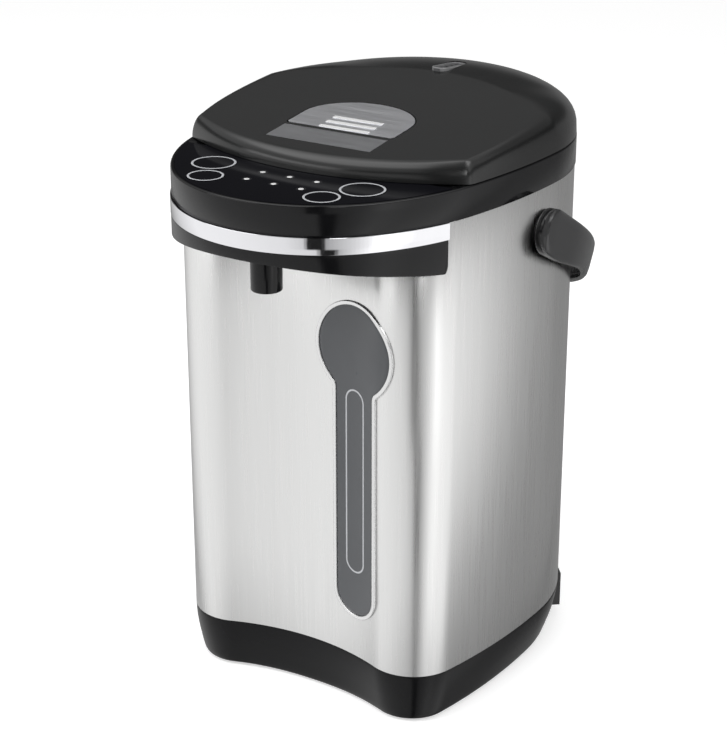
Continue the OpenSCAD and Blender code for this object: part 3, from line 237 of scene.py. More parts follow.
def bar(name, rings, material, **how):
    """A solid through rings of points, closed by a flat fan at each end."""
    rings = np.asarray(rings)
    m, n = rings.shape[:2]
    points = np.concatenate([rings.reshape(-1, 3), rings[:1].mean(1), rings[-1:].mean(1)])
    faces = [tuple(f) for f in sheet_faces(m, n, False, True)]
    j = np.arange(n)
    k = (j + 1) % n
    faces += list(zip([m * n] * n, k, j))
    faces += list(zip([m * n + 1] * n, (m - 1) * n + j, (m - 1) * n + k))
    return piece(name, points, faces, material, **how)


def at_height(plan, z):
    """Plan points (x, y) lifted to height z, a number or one per point."""
    return np.column_stack([plan, np.broadcast_to(z, len(plan))])


def at_side(view, x):
    """Points (y, z) of a side view placed at x."""
    return np.column_stack([np.full(len(view), x), view])


def rectangle(x0, y0, x1, y1):
    """Corners of an upright rectangle, anticlockwise."""
    return np.array([(x0, y0), (x1, y0), (x1, y1), (x0, y1)])


def slab(loop, low, high):
    """Rings of a flat plate of outline loop between two heights."""
    return [at_height(loop, z) for z in (low, high)]


def fillet(inset, z, radius, start, end, steps=5):
    """Section points on part of a round: centre + radius * (cos, sin), angles in degrees."""
    return [(inset, z) + radius * u for u in sweep(start, end, steps)]


def wall(name, plan, normals, section, material, **how):
    """A hoop along an outline: each section point (inset, z) gives the ring plan - inset * normal at z."""
    rings = [at_height(plan - inset * normals, z) for inset, z in section]
    return hoop(name, rings, material, **how)


def turned(name, section, place, material, sides=96, **how):
    """A turned solid: section points (radius, z) carried round a vertical axis at a plan place."""
    rings = [at_height(place + r * circle(sides), z) for r, z in section]
    return hoop(name, rings, material, **how)


# ------------------------ materials
def feed(made, inputs):
    """Gives a node's inputs, by name or number, their values or the sockets that they are linked from."""
    for key, value in inputs.items():
        if isinstance(value, bpy.types.NodeSocket):
            made.id_data.links.new(value, made.inputs[key])
        else:
            made.inputs[key].default_value = value
    return made


def node(tree, kind, inputs=(), **settings):
    """A new shader node with its settings and inputs."""
    made = tree.nodes.new("ShaderNode" + kind)
    for key, value in settings.items():
        setattr(made, key, value)
    return feed(made, dict(inputs))


def texture_group(name, inputs, third):
    """An empty node group: the named inputs and a range of roughness go in; a roughness, a normal and a
    third value come out. Returned with what goes in, its Object coordinates and its output node."""
    group = bpy.data.node_groups.new(name, "ShaderNodeTree")
    for label, value in (*inputs, ("Rough Low", .2), ("Rough High", .3)):
        kind = "NodeSocketVector" if isinstance(value, tuple) else "NodeSocketFloat"
        group.interface.new_socket(name=label, in_out="INPUT", socket_type=kind).default_value = value
    for label, kind in (("Roughness", "Float"), ("Normal", "Vector"), (third, "Float")):
        group.interface.new_socket(name=label, in_out="OUTPUT", socket_type="NodeSocket" + kind)
    given, out = group.nodes.new("NodeGroupInput").outputs, group.nodes.new("NodeGroupOutput")
    return group, given, node(group, "TexCoord").outputs["Object"], out


def noise(group, place, scale, detail):
    """Noise over a vector socket; its scale is a number or a socket."""
    return node(group, "TexNoise", {"Vector": place, "Scale": scale, "Detail": detail}).outputs["Fac"]


def rough_and_bumped(group, given, gloss, edges, relief, depth, distance):
    """Roughness that goes through the group's range as the gloss noise goes from one edge to the other,
    and a normal bumped by the relief noise, at the strength of the input named depth."""
    rough = node(group, "MapRange", {"Value": gloss, "From Min": edges[0], "From Max": edges[1],
                                     "To Min": given["Rough Low"], "To Max": given["Rough High"]})
    bump = node(group, "Bump", {"Strength": given[depth], "Distance": distance, "Height": relief})
    return {"Roughness": rough.outputs["Result"], "Normal": bump.outputs["Normal"]}


def brushing_group():
    """Fine brushing: noise stretched along one direction gives roughness and height, and a broader one
    gives the tone."""
    group, given, place, out = texture_group("fine_brushing", (("Stretch", (1, 1, 1)), ("Depth", .5)), "Tone")
    drawn = node(group, "VectorMath", {0: place, 1: given["Stretch"]}, operation="MULTIPLY").outputs[0]
    fine = noise(group, drawn, 900, 3)
    feed(out, {**rough_and_bumped(group, given, fine, (.3, .7), fine, "Depth", .00002),
               "Tone": noise(group, drawn, 90, 4)})
    return group


def moulding_group():
    """Moulded skin: fine orange-peel height, with soft patches that dull the gloss a little."""
    group, given, place, out = texture_group(
        "moulded_skin", (("Grain Scale", 900.0), ("Grain Depth", .2)), "Patches")
    patches, grain = noise(group, place, 14, 3), noise(group, place, given["Grain Scale"], 2)
    feed(out, {**rough_and_bumped(group, given, patches, (.35, .65), grain, "Grain Depth", .00003),
               "Patches": patches})
    return group


BRUSHING, SKIN = brushing_group(), moulding_group()


def blank_material(name, **values):
    """A material with one Principled shader; values are its plain sockets by name."""
    made = bpy.data.materials.new(name)
    made.use_nodes = True
    shader = made.node_tree.nodes["Principled BSDF"]
    return made, made.node_tree, feed(shader, {key.replace("_", " "): value for key, value in values.items()})


def textured(name, group, dark, light, rough, inputs, **values):
    """A material whose texture group gives its roughness and normal, and with its third value the place
    of the base colour between two tones."""
    made, tree, shader = blank_material(name, **values)
    texture = node(tree, "Group", node_tree=group)
    feed(texture, {"Rough Low": rough[0], "Rough High": rough[1], **inputs})
    tone = node(tree, "Mix", {0: texture.outputs[2], 6: (*dark, 1), 7: (*light, 1)}, data_type="RGBA")
    feed(shader, {"Base Color": tone.outputs[2], "Roughness": texture.outputs["Roughness"],
                  "Normal": texture.outputs["Normal"]})
    return made


def brushed(name, dark, light, stretch, rough, depth):
    """Brushed metal: stretch is how quickly the brushing changes along each axis."""
    return textured(name, BRUSHING, dark, light, rough, {"Stretch": stretch, "Depth": depth}, Metallic=1.0)


def moulded(name, dark, light, rough, grain, **values):
    """Moulded plastic or rubber with a fine skin: grain is its scale and depth."""
    inputs = {"Grain Scale": grain[0], "Grain Depth": grain[1]}
    return textured(name, SKIN, dark, light, rough, inputs, **values)


RIB_WHITE = (.66, .66, .66, 1)


def ribbed_lever():
    """The lever's brushed grey, turned white where the surface stands over the lid's plane, on its ribs:
    the height over the plane is z - slope * y, less its value on the pot's axis."""
    made = brushed("latch_lever_ribbed", (.66, .665, .69), (.80, .805, .83), (.03, 1, 1), (.3, .42), .5)
    tree = made.node_tree
    shader = tree.nodes["Principled BSDF"]
    height = node(tree, "VectorMath", {0: node(tree, "TexCoord").outputs["Object"], 1: (0, -CROWN_SLOPE, 1)},
                  operation="DOT_PRODUCT")
    plane = (DECK_Z + CROWN_H - CROWN_SLOPE * AXIS_Y + .2) / 1000
    mask = node(tree, "Math", {0: height.outputs["Value"], 1: plane}, operation="GREATER_THAN").outputs[0]
    grey = shader.inputs["Base Color"].links[0].from_socket
    paint = node(tree, "Mix", {0: mask, 6: grey, 7: RIB_WHITE}, data_type="RGBA")
    metal = node(tree, "Math", {0: 1, 1: mask}, operation="SUBTRACT")
    feed(shader, {"Base Color": paint.outputs[2], "Metallic": metal.outputs[0]})
    return made


# metals: two tones, brushing along x, y and z, range of roughness, depth of the brushing
STEEL = brushed("steel_brushed_upright", (.665, .665, .66), (.715, .715, .71), (1, 1, .02), (.26, .33), .18)
POT_STEEL = brushed("steel_pot", (.66, .66, .66), (.69, .69, .69), (.3, .3, 1), (.27, .3), .05)
# the finger plate has the same brushed finish as the lever; its darker tones are painted shade from its
# finger recess
PLATE_SHADED_GREY = brushed("plate_brushed_shaded", (.40, .405, .42), (.50, .505, .52), (.03, 1, 1), (.3, .42), .5)
LEVER_GREY = ribbed_lever()
FRAME_SILVER = brushed("frame_satin", (.66, .66, .66), (.72, .72, .72), (1, 1, .3), (.24, .32), .05)
CHROME = brushed("chrome_polished", (.71, .71, .73), (.75, .75, .77), (1, 1, .3), (.05, .09), .05)
ZINC = brushed("zinc_plating", (.5, .5, .52), (.62, .62, .64), (1, 1, 1), (.28, .4), .3)
BRASS = brushed("brass_pins", (.62, .45, .2), (.74, .58, .3), (1, 1, .3), (.2, .3), .2)
ALUMINIUM = brushed("heater_casting", (.5, .5, .5), (.6, .6, .61), (1, 1, 1), (.4, .55), .8)
MAGNET = brushed("magnet_bare", (.13, .13, .14), (.19, .19, .2), (1, 1, 1), (.4, .5), .3)

# moulded: two tones, range of roughness, scale and depth of the grain
BASE_BLACK = moulded("black_base", (.004, .004, .0045), (.006, .006, .0065), (.12, .16), (500.0, .04),
                     Specular_IOR_Level=.14)
GLOSS_BLACK = moulded("black_glossy", (.004, .004, .0045), (.006, .006, .0065), (.09, .13), (500.0, .04),
                      Specular_IOR_Level=.24)
LID_BLACK = moulded("black_lid", (.007, .0072, .0072), (.010, .0102, .0102), (.17, .22), (900.0, .1),
                    Specular_IOR_Level=.4)
PANEL_BLACK = moulded("panel_film", (.003, .003, .0045), (.005, .005, .007), (.06, .09), (300.0, .01),
                      Specular_IOR_Level=.12)
SATIN_BLACK = moulded("black_satin", (.022, .022, .023), (.032, .032, .033), (.34, .45), (1400.0, .3))
HANDLE_BLACK = moulded("black_handle", (.020, .020, .021), (.028, .028, .029), (.22, .3), (1400.0, .15))
SMOKED = moulded("window_smoked", (.045, .048, .053), (.07, .074, .08), (.08, .12), (300.0, .01))
LENS = moulded("signal_lens", (.012, .012, .014), (.018, .018, .02), (.12, .2), (500.0, .05))
SIGNAL_WHITE = moulded("signal_white", (.72, .72, .72), (.8, .8, .8), (.3, .35), (600.0, .05))
PRINT = moulded("print_light_grey", (.42, .43, .45), (.5, .51, .53), (.35, .4), (600.0, .05))
VENT_RIM = moulded("vent_rim_grey", (.16, .16, .163), (.22, .22, .223), (.25, .33), (1000.0, .2))
VENT_GREY = moulded("vent_dark", (.05, .05, .052), (.07, .07, .073), (.3, .4), (1000.0, .3))
RUBBER = moulded("rubber_black", (.02, .02, .02), (.035, .035, .035), (.6, .75), (1600.0, .5))
SILICONE = moulded("silicone_milky", (.60, .58, .53), (.70, .68, .63), (.4, .5), (800.0, .1),
                   Subsurface_Weight=.1)
TUBE = moulded("level_tube_clear", (.8, .86, .88), (.86, .92, .94), (.05, .08), (300.0, .02),
               Transmission_Weight=.85)
WHITE_PLASTIC = moulded("plastic_white", (.68, .68, .64), (.78, .78, .75), (.3, .4), (900.0, .2))
GREY_PLASTIC = moulded("plastic_grey", (.14, .14, .145), (.19, .19, .2), (.35, .45), (1200.0, .3))
BOARD = moulded("board_green", (.03, .16, .07), (.05, .22, .1), (.3, .4), (700.0, .1))
FELT = moulded("felt_jacket", (.58, .55, .46), (.72, .69, .6), (.85, .95), (2200.0, 1.0))
MICA = moulded("mica_band", (.36, .3, .2), (.5, .43, .31), (.5, .7), (1500.0, .6))


# ------------------------ body and base
STEEL_T = 0.8


def body_skin():
    """The steel wall: the body's outline carried straight up, with a rolled edge at both ends."""
    section = [(STEEL_T, BASE_Z), (.25, BASE_Z), (0, BASE_Z + .3)]
    section += [(0, HEAD_Z - .3), (.25, HEAD_Z), (STEEL_T, HEAD_Z)]
    steel = wall("steel_wall", BODY, BODY_N, section, STEEL)
    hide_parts("body_shell")


# the base's side as (height, level) from foot to steel, its steps in height, and its inside as (level, z)
BASE_LEVELS = np.array([(0, 1), (.02, .8), (.06, .7), (.12, .61), (.25, .48), (.45, .28), (.68, .1),
                        (.85, .025), (1, 0)])
BASE_STEPS = np.array([0, .01, .02, .04, .06, .09, .12, .18, .25, .35, .45, .56, .68, .76, .85, .93, .985, 1])
BASE_INSIDE = ((.28, 18), (.61, 9), (.7, 7))
BASE_SHARE, SHARE_RISE, FRONT_LOSS, FRONT_SPREAD = 1.1, 0.0034, 0.4, 45.0
BASE_ROUND, BASE_WALL, FOOT_H, LEDGE_H, LEDGE_R, COVER_R = 10.4, 2.8, 2.0, 4.5, 75.0, 83.3


def base_wall():
    """The base: each level lies inside the body's outline by round * level * share, where share grows
    towards the rear and is least at the hollow front; the levels are joined by a smooth curve."""
    x, y = BODY.T
    hollow = np.where(y < 0, FRONT_LOSS * np.exp(-(x / FRONT_SPREAD) ** 2), 0)
    share = (BASE_SHARE + SHARE_RISE * y) * (1 - hollow)
    level = np.interp(BASE_STEPS, *BASE_LEVELS.T)
    level[1:-1] = 0.25 * level[:-2] + 0.5 * level[1:-1] + 0.25 * level[2:]
    level[-1] = 0.03

    def ring(k, inside, z):
        return at_height(BODY - (BASE_ROUND * k * share + inside)[:, None] * BODY_N, z)

    rings = [ring(k, 0, z) for k, z in zip(level, FOOT_H + BASE_STEPS * (BASE_Z - FOOT_H))]
    rings += [ring(0, BASE_WALL, BASE_Z)] + [ring(k, BASE_WALL, z) for k, z in BASE_INSIDE]
    rings += [at_height(same_way(BODY) * r, z) for r, z in (
        (LEDGE_R, BASE_INSIDE[-1][1]), (LEDGE_R, LEDGE_H), (COVER_R, LEDGE_H), (COVER_R, FOOT_H))]
    base = hoop("base_wall", rings, BASE_BLACK)
    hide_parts("base_shell")


# ------------------------ head
MOUTH_R, LEDGE_IN, LEDGE_OUT = 96.0, 102.0, 104.5
HEAD_WALL, DECK_T, DECK_ROUND, PANEL_Y, PANEL_SINK = 2.5, 2.5, 1.2, 99.0, 0.9


def head_collar():
    """The head: a straight collar with a rounded shoulder, a deck that is sunk under the key panel,
    and a round mouth over the pot."""
    sunk = DECK_Z - PANEL_SINK * part_way(-HEAD[:, 1], PANEL_Y, PANEL_Y + 6)
    section = [(HEAD_WALL, HEAD_Z), (0.3, HEAD_Z), (0, HEAD_Z + 0.3)]
    section += fillet(DECK_ROUND, DECK_Z - DECK_ROUND, DECK_ROUND, 180, 90, 7) + [(2.3, DECK_Z), (2.45, sunk)]
    rings = [at_height(HEAD - inset * HEAD_N, z) for inset, z in section]
    rings += [at_height(same_way(HEAD) * r, z) for r, z in (
        (LEDGE_OUT, sunk), (LEDGE_IN, DECK_Z), (MOUTH_R + .6, DECK_Z), (MOUTH_R, DECK_Z - .6),
        (MOUTH_R, DECK_Z - DECK_T))]
    rings += [at_height(HEAD - HEAD_WALL * HEAD_N, DECK_Z - DECK_T)]
    head = hoop("head_collar", rings, GLOSS_BLACK, sharp=50)
    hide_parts("head_shell")


CHROME_Z, BAND_OUT, BAND_END_Y = HEAD_Z - 10.4, 0.8, 108.8
VISOR_Z, ARCH_R, VISOR_HALF, VISOR_BACK_HALF = HEAD_Z - 18, 365.0, 106.0, 97.0
VISOR_T, VISOR_OUT, VISOR_ROUND, VISOR_END_Y = 2.2, 0.6, 7.0, 109.6


def stretch_of(plan, normals, end_y, finer=3):
    """The part of an outline ahead of -end_y, from one end round the front to the other, with points set
    in between by straight division and its ends exactly on that line."""
    ahead = np.flatnonzero(plan[:, 1] < -end_y)
    run = np.concatenate([[ahead[0] - 1], ahead, [ahead[-1] + 1]])
    p, n = plan[run], normals[run]
    for end, inner in ((0, 1), (-1, -2)):
        t = (-end_y - p[inner, 1]) / (p[end, 1] - p[inner, 1])
        p[end] = p[inner] + t * (p[end] - p[inner])
        n[end] = n[inner] + t * (n[end] - n[inner])
    place, fine = np.arange(len(p)), np.linspace(0, len(p) - 1, finer * (len(p) - 1) + 1)
    p, n = (np.stack([np.interp(fine, place, value) for value in values.T], 1) for values in (p, n))
    return p, n / np.linalg.norm(n, axis=1)[:, None]


def band():
    """The chrome band: a flat strip round the front of the head, eased up to the collar."""
    p, n = stretch_of(HEAD, HEAD_N, BAND_END_Y)
    section = [(-.1, CHROME_Z)] + fillet(-BAND_OUT + .4, CHROME_Z + .4, .4, 270, 180, 4)
    section += [(-BAND_OUT, HEAD_Z - .1), (-BAND_OUT + .1, HEAD_Z + .1), (-.1, HEAD_Z + .25)]
    rings = np.array([at_height(p - i * n, z) for i, z in section]).transpose(1, 0, 2)
    strip = bar("chrome_strip", rings, CHROME)
    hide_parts("chrome_band")


def body_front_y(x):
    """Depth of the body's front, its lowest y, at a distance x from the centre plane."""
    front = BODY[(BODY[:, 1] < -CORNER_Y) & (BODY[:, 0] >= 0)]
    order = np.argsort(front[:, 0])
    return np.interp(np.abs(x), front[order, 0], front[order, 1])


def arch(x):
    """Height of the visor's lower edge at a distance x from the centre plane."""
    return VISOR_Z - ARCH_R + np.sqrt(ARCH_R ** 2 - x ** 2)


def visor_hood():
    """The hood under the band: an outer wall whose lower edge is the arch z = top - (R - sqrt(R^2 - x^2)),
    rounded up into its ends, and an underside that runs back to the body's front."""
    p, n = stretch_of(HEAD, HEAD_N, VISOR_END_Y)
    outer = p + VISOR_OUT * n
    end_z = arch(VISOR_HALF) + VISOR_ROUND
    back = np.clip(p[:, 1] + VISOR_END_Y + VISOR_ROUND, 0, VISOR_ROUND - .1)
    low = np.maximum(arch(outer[:, 0]), np.where(back > 0, end_z - np.sqrt(VISOR_ROUND ** 2 - back ** 2), 0))
    x = outer[:, 0] * VISOR_BACK_HALF / np.abs(outer[:, 0]).max()
    inner = np.column_stack([x, np.clip(body_front_y(x) - .3, p[:, 1].min(), -VISOR_END_Y + .4)])
    low_in = np.maximum(arch(x), np.minimum(low, CHROME_Z - 1))
    rings = [at_height(plan, z) for plan, z in (
        (p, HEAD_Z - .4), (p, CHROME_Z), (outer - .3 * n, CHROME_Z), (outer, CHROME_Z - .3),
        (outer, low + 1.2), (outer - .35 * n, low + .35), (outer - 1.2 * n, low),
        (.12 * inner + .88 * outer, low), (inner, low_in), (inner, low_in + VISOR_T),
        (.2 * inner + .8 * outer, low + VISOR_T), (p - VISOR_T * n, CHROME_Z - .5),
        (p - VISOR_T * n, HEAD_Z - .2))]
    hood = bar("visor_hood", np.array(rings).transpose(1, 0, 2), GLOSS_BLACK, sharp=35)
    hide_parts("visor")


NOZZLE_R, NOZZLE_BORE = 9.8, 4.5


def nozzle():
    """The spout: a turned tube, slightly wider at the top, with a rounded lip and a flared mouth."""
    r, bore, z = NOZZLE_R, NOZZLE_BORE, corners("spout_nozzle")[0][2]
    section = [(bore, z + 8), (bore + .7, z + 5.5), (7.6, z + .8)] + fillet(r - 1, z + 1, 1, -120, 0)
    section += [(r, z + 10), (r, VISOR_Z - 2), (r - .3, VISOR_Z + 1), (r - .3, VISOR_Z + 5)]
    section += [(bore, VISOR_Z + 5)]
    spout = turned("spout_tube", section, plan_place("spout_nozzle"), GLOSS_BLACK)
    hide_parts("spout_nozzle")


PRINT_H, DOT_R, SIGNAL_R = 0.06, 1.7, 3.0


def key_prints():
    """A thin printed ring near the edge of each round key."""
    for name in ("key_unlock", "key_reboil", "key_warm", "key_pour"):
        low, high = corners(name)
        r, z = (high[0] - low[0]) / 2 - 1, high[2]
        section = [(r - 1.5, z), (r - 1.4, z + PRINT_H), (r - .2, z + PRINT_H), (r - .1, z)]
        ring = turned(name + "_ring", section, plan_place(name), PRINT, body=name)


def signal_dots():
    """A small white dot in the middle of each of the six dark signal lenses, in two rows of three."""
    low, high = corners("led_lenses")
    z = high[2]
    section = [(.02, z), (DOT_R, z), (DOT_R - .1, z + PRINT_H), (.02, z + PRINT_H)]
    places = [(x, y - AXIS_Y) for y in (low[1] + SIGNAL_R, high[1] - SIGNAL_R)
              for x in (low[0] + SIGNAL_R, (low[0] + high[0]) / 2, high[0] - SIGNAL_R)]
    for i, place in enumerate(places):
        dot = turned("signal_dot_%d" % (i + 1), section, place, SIGNAL_WHITE, sides=32)


# ------------------------ lid
def softened(normals, spread=4.0):
    """Normals averaged along a closed outline under a bell curve of the given spread in points."""
    steps = np.arange(-12, 13)
    made = sum(math.exp(-(k / spread) ** 2 / 2) * np.roll(normals, k, axis=0) for k in steps)
    return made / np.linalg.norm(made, axis=1)[:, None]


LID_SOFT = softened(LID_N)
CREASE_Y, CREASE_BEND, CREASE_EASE = 45.0, 0.0043, 15.0
CREASE_SIDE, CREASE_CORNER, CREASE_FRONT = 7.0, 6.5, 9.5
LID_FULLNESS, REAR_FULLNESS, REAR_SLOPE, REAR_RUN = 2.43, 3.2, 0.2, (10, 70)
LID_CORNER, CORNER_LOSS, CORNER_SPREAD = (96.0, 92.0), 0.7, 22.0
LID_MIDDLE = np.array([0, -30])


def lid_top(p):
    """Height of the lid's plane over plan points: it rises in a straight line towards the rear."""
    return DECK_Z + CROWN_H + CROWN_SLOPE * p[:, 1]


def crease_depth(p):
    """Distance from each rim point in to the crease: at the front it swells to the middle as 1 - x^2,
    along the sides it eases from the rear value to the corner's, and at the rear it reaches the bent
    crease y = c - k x^2 along the line through the pot's axis, and is never much less than the side's."""
    x, y = p.T
    back = np.maximum(y, 0)
    r = np.hypot(x, back)
    c, s = x / r, back / r
    a = np.maximum(CREASE_BEND * c * c, 1e-9)
    d = r - (np.sqrt(s * s + 4 * a * CREASE_Y) - s) / (2 * a)
    rear = (d + CREASE_SIDE + np.sqrt((d - CREASE_SIDE) ** 2 + CREASE_EASE ** 2)) / 2
    corner_x, corner_y = LID_CORNER
    side = CREASE_CORNER + (rear - CREASE_CORNER) * (1 - part_way(-y, 0, corner_y)) ** 1.4
    front = CREASE_CORNER + (CREASE_FRONT - CREASE_CORNER) * (1 - (x / corner_x) ** 2)
    return np.where((y < -corner_y) & (np.abs(x) < corner_x), front, side)


def lid_rings(inset, z0, sink, share=1.0):
    """Rings of the dome. At a fraction f of the way in to the crease the height has risen by
    (1 - k) (1 - (1 - f)^n)^(1 / n) + k f of the way to the plane: k is the slope that is left at the
    crease and grows from the sides to the rear, and n drops a little near the front corners. Inside the
    crease the rings close the plane."""
    depth = share * crease_depth(LID)
    rear = eased(part_way(LID[:, 1], *REAR_RUN))
    k = REAR_SLOPE * rear
    from_corner = np.hypot(np.abs(LID[:, 0]) - LID_CORNER[0], LID[:, 1] + LID_CORNER[1])
    n = LID_FULLNESS + (REAR_FULLNESS - LID_FULLNESS) * rear
    n = n - CORNER_LOSS * np.exp(-(from_corner / CORNER_SPREAD) ** 2)
    rings = []
    for f in np.concatenate([[0], .5 - .5 * np.cos(np.linspace(.18, np.pi, 26))]):
        p = LID - (inset + depth * f)[:, None] * LID_SOFT
        rise = (1 - k) * (1 - (1 - f) ** n) ** (1 / n) + k * f
        rings.append(at_height(p, z0 + (lid_top(p) - sink - z0) * rise))
    for left in (.97, .9, .75, .5, .25, .06):
        p = LID_MIDDLE + left * (LID - (inset + depth)[:, None] * LID_SOFT - LID_MIDDLE)
        rings.append(at_height(p, lid_top(p) - sink))
    return rings


SLOPE = math.atan(CROWN_SLOPE)


def on_lid(points):
    """Points given along and square to the lid's plane, turned into the upright frame."""
    points = np.asarray(points, float)
    c, s = math.cos(SLOPE), math.sin(SLOPE)
    y, z = points[..., 1] * c - points[..., 2] * s, points[..., 1] * s + points[..., 2] * c
    return np.stack([points[..., 0], y, DECK_Z + CROWN_H + z], -1)


LATCH_HALF, LEVER_SIDE, LEVER_ROUND = 39.0, 21.0, 28.5
PLATE_Y = (LID_FRONT_Y - 20.6, LID_FRONT_Y - 42)
LEVER_Y = LID_FRONT_Y - 45.5


def along(y):
    """Distance along the lid's plane of a place y ahead of the pot axis."""
    return -y / math.cos(SLOPE)


def plate_loop(grow):
    """Outline of the finger plate, a rectangle."""
    x = LATCH_HALF - 1 + grow
    y0, y1 = along(PLATE_Y[0]) - grow, along(PLATE_Y[1]) + grow
    return rectangle(-x, y0, x, y1)


def lever_loop(grow):
    """Outline of the lever: straight sides that end in a half ellipse."""
    y0, y1 = along(LEVER_Y) - grow, along(LEVER_Y) + LEVER_SIDE
    x = LATCH_HALF + grow
    bow = [0, y1] + [x, LEVER_ROUND + grow] * sweep(0, 180, 49)
    return np.concatenate([[(-x, y0 + 2), (-x + 2, y0), (x - 2, y0), (x, y0 + 2)], bow])


VENT_AT, VENT_SEAT = plan_place("vent_cap"), corners("vent_cap")[1][2] - 3.1
VENT_R, VENT_HALF, VENT_PITCH, VENT_BAR_HALF, VENT_TILT = 6.0, 11.0, 7.0, 2.2, math.radians(5.6)


def vent_loop(grow):
    """Outline of the vent's slot: two half circles and two straight sides."""
    cap = (VENT_R + grow) * sweep(0, 180, 13) + [0, VENT_HALF]
    return VENT_AT + np.concatenate([cap, -cap])


def on_vent(loop, height):
    """Points of the vent's plan laid on its tilted seat, at a height over it."""
    y = loop[:, 1] - VENT_AT[1]
    return np.column_stack([loop[:, 0], VENT_AT[1] + y * math.cos(VENT_TILT),
                            VENT_SEAT + height - y * math.sin(VENT_TILT)])


def cut(made, *tools):
    """Takes loose solids out of a piece, and then out of the scene."""
    for tool in tools:
        change = made.modifiers.new("cut", "BOOLEAN")
        change.operation, change.solver, change.object = "DIFFERENCE", "EXACT", tool
    graph = bpy.context.evaluated_depsgraph_get()
    mesh = bpy.data.meshes.new_from_object(made.evaluated_get(graph))
    made.modifiers.clear()
    made.data = mesh
    for tool in tools:
        bpy.data.objects.remove(tool)
    mesh.polygons.foreach_set("use_smooth", [True] * len(mesh.polygons))
    mesh.set_sharp_from_angle(angle=math.radians(30))


def cutter(rings):
    """A loose solid for cutting, through rings of points."""
    rings = np.asarray(rings)
    m, n = rings.shape[:2]
    points = rings.reshape(-1, 3) + [0, AXIS_Y, 0]
    faces = [tuple(f) for f in sheet_faces(m, n, False, True)]
    faces += [tuple(range(n))[::-1], tuple(range((m - 1) * n, m * n))]
    mesh = bpy.data.meshes.new("cutter")
    mesh.from_pydata((points / 1000).tolist(), [], faces)
    made = bpy.data.objects.new("cutter", mesh)
    bpy.context.scene.collection.objects.link(made)
    outward(made)
    return made


def vent():
    """The steam vent: a dark insert with four oval slots between five bars, inside a thin raised rim."""
    insert = hoop("vent_insert_edge", [on_vent(vent_loop(g), h) for g, h in
                                       ((-1.0, -6), (-1.0, .35), (-4.5, .35), (-4.5, -1.2), (-4.9, -6))],
                  VENT_GREY, body="lid")
    rim = hoop("vent_rim", [on_vent(vent_loop(g), h) for g, h in
                            ((0, -4), (0, .45), (-.3, .75), (-.8, .75), (-1.0, .45), (-1.0, -4))],
               VENT_RIM, body="lid")
    for i, half in enumerate((3.2, 2.0, 2.0, 2.0, 3.2)):
        y = VENT_PITCH * (i - 2)
        loop = VENT_AT * [0, 1] + rectangle(-VENT_BAR_HALF, y - half, VENT_BAR_HALF, y + half)
        rings = [on_vent(loop, h) for h in (-5, .2)]
        bar("vent_bar_%d" % (i + 1), rings, VENT_GREY, body="lid", sharp=30)
    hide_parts("vent_cap")


LID_WALL = 2.5
HINGE_X, HINGE_Y, HINGE_Z = (16.6, 25.4), (97.8, 124.0), (DECK_Z - 1, DECK_Z + 16.5)
HOLLOW_Y, HOLLOW_Z, HOLLOW_R, HOLLOW_HALF = 103.0, DECK_Z + 11, 10.5, 48.0


def lid_dome():
    """The lid's shell: the dome outside, the same dome set in by the wall inside, and the openings for
    the latch, the vent, the two hinge arms and the rounded bracket between them."""
    rings = lid_rings(LID_WALL, LID_Z, LID_WALL, .8)[::-1] + lid_rings(0, LID_Z, 0)
    shell = bar("lid_dome", rings, LID_BLACK, body="lid", sharp=30)
    reliefs = [cutter(on_lid(slab(plate_loop(0), -8, 9))), cutter(on_lid(slab(lever_loop(.8), -8, 9))),
               cutter(slab(vent_loop(.25), DECK_Z + 10, DECK_Z + 40))]
    for side in (-1, 1):
        x0, x1 = sorted(side * x for x in HINGE_X)
        reliefs.append(cutter(slab(rectangle(x0, HINGE_Y[0], x1, HINGE_Y[1]), *HINGE_Z)))
    bend = [HOLLOW_Y, HOLLOW_Z] + HOLLOW_R * sweep(-90, 0, 10)
    far, low = HINGE_Y[1], HINGE_Z[0]
    hollow = np.concatenate([bend, [(far, HOLLOW_Z), (far, low), (HOLLOW_Y, low)]])
    reliefs.append(cutter([at_side(hollow, x) for x in (-HOLLOW_HALF, HOLLOW_HALF)]))
    cut(shell, *reliefs)
    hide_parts("lid_cover")


# ------------------------ level window
WINDOW_X, WINDOW_R, STEM_HALF, WINDOW_FILLET = 39.8, 29.5, 16.0, 7.0
WINDOW_Z, STEM_Z = HEAD_Z - 89, 68.4
MARK_HALF, MARK_LOW, MARK_HIGH = 6.9, 100.0, 225.0


def window_loop(grow, pitch=1.5):
    """Front view of the window: a round head, fillets and a round-ended stem, as a closed loop."""
    drop = WINDOW_Z - STEM_Z - STEM_HALF
    fx = STEM_HALF + WINDOW_FILLET
    fz = math.sqrt((WINDOW_R + WINDOW_FILLET) ** 2 - fx ** 2)
    lean = math.degrees(math.atan2(-fz, fx))

    def arc(x, z, radius, first, last, more):
        steps = max(8, int(abs(math.radians(last - first)) * radius / pitch))
        return [x, z] + (radius + more) * sweep(first, last, steps)

    down = np.linspace(-fz, -drop, int((drop - fz) / 4))[1:-1]
    right = np.column_stack([np.full(len(down), STEM_HALF + grow), down])
    return [WINDOW_X, WINDOW_Z] + np.concatenate([
        arc(0, 0, WINDOW_R, 180 - lean, lean, grow),
        arc(fx, -fz, WINDOW_FILLET, 180 + lean, 180, -grow), right,
        arc(0, -drop, STEM_HALF, 0, -180, grow), (right * [-1, 1])[::-1],
        arc(-fx, -fz, WINDOW_FILLET, 0, -lean, -grow)])


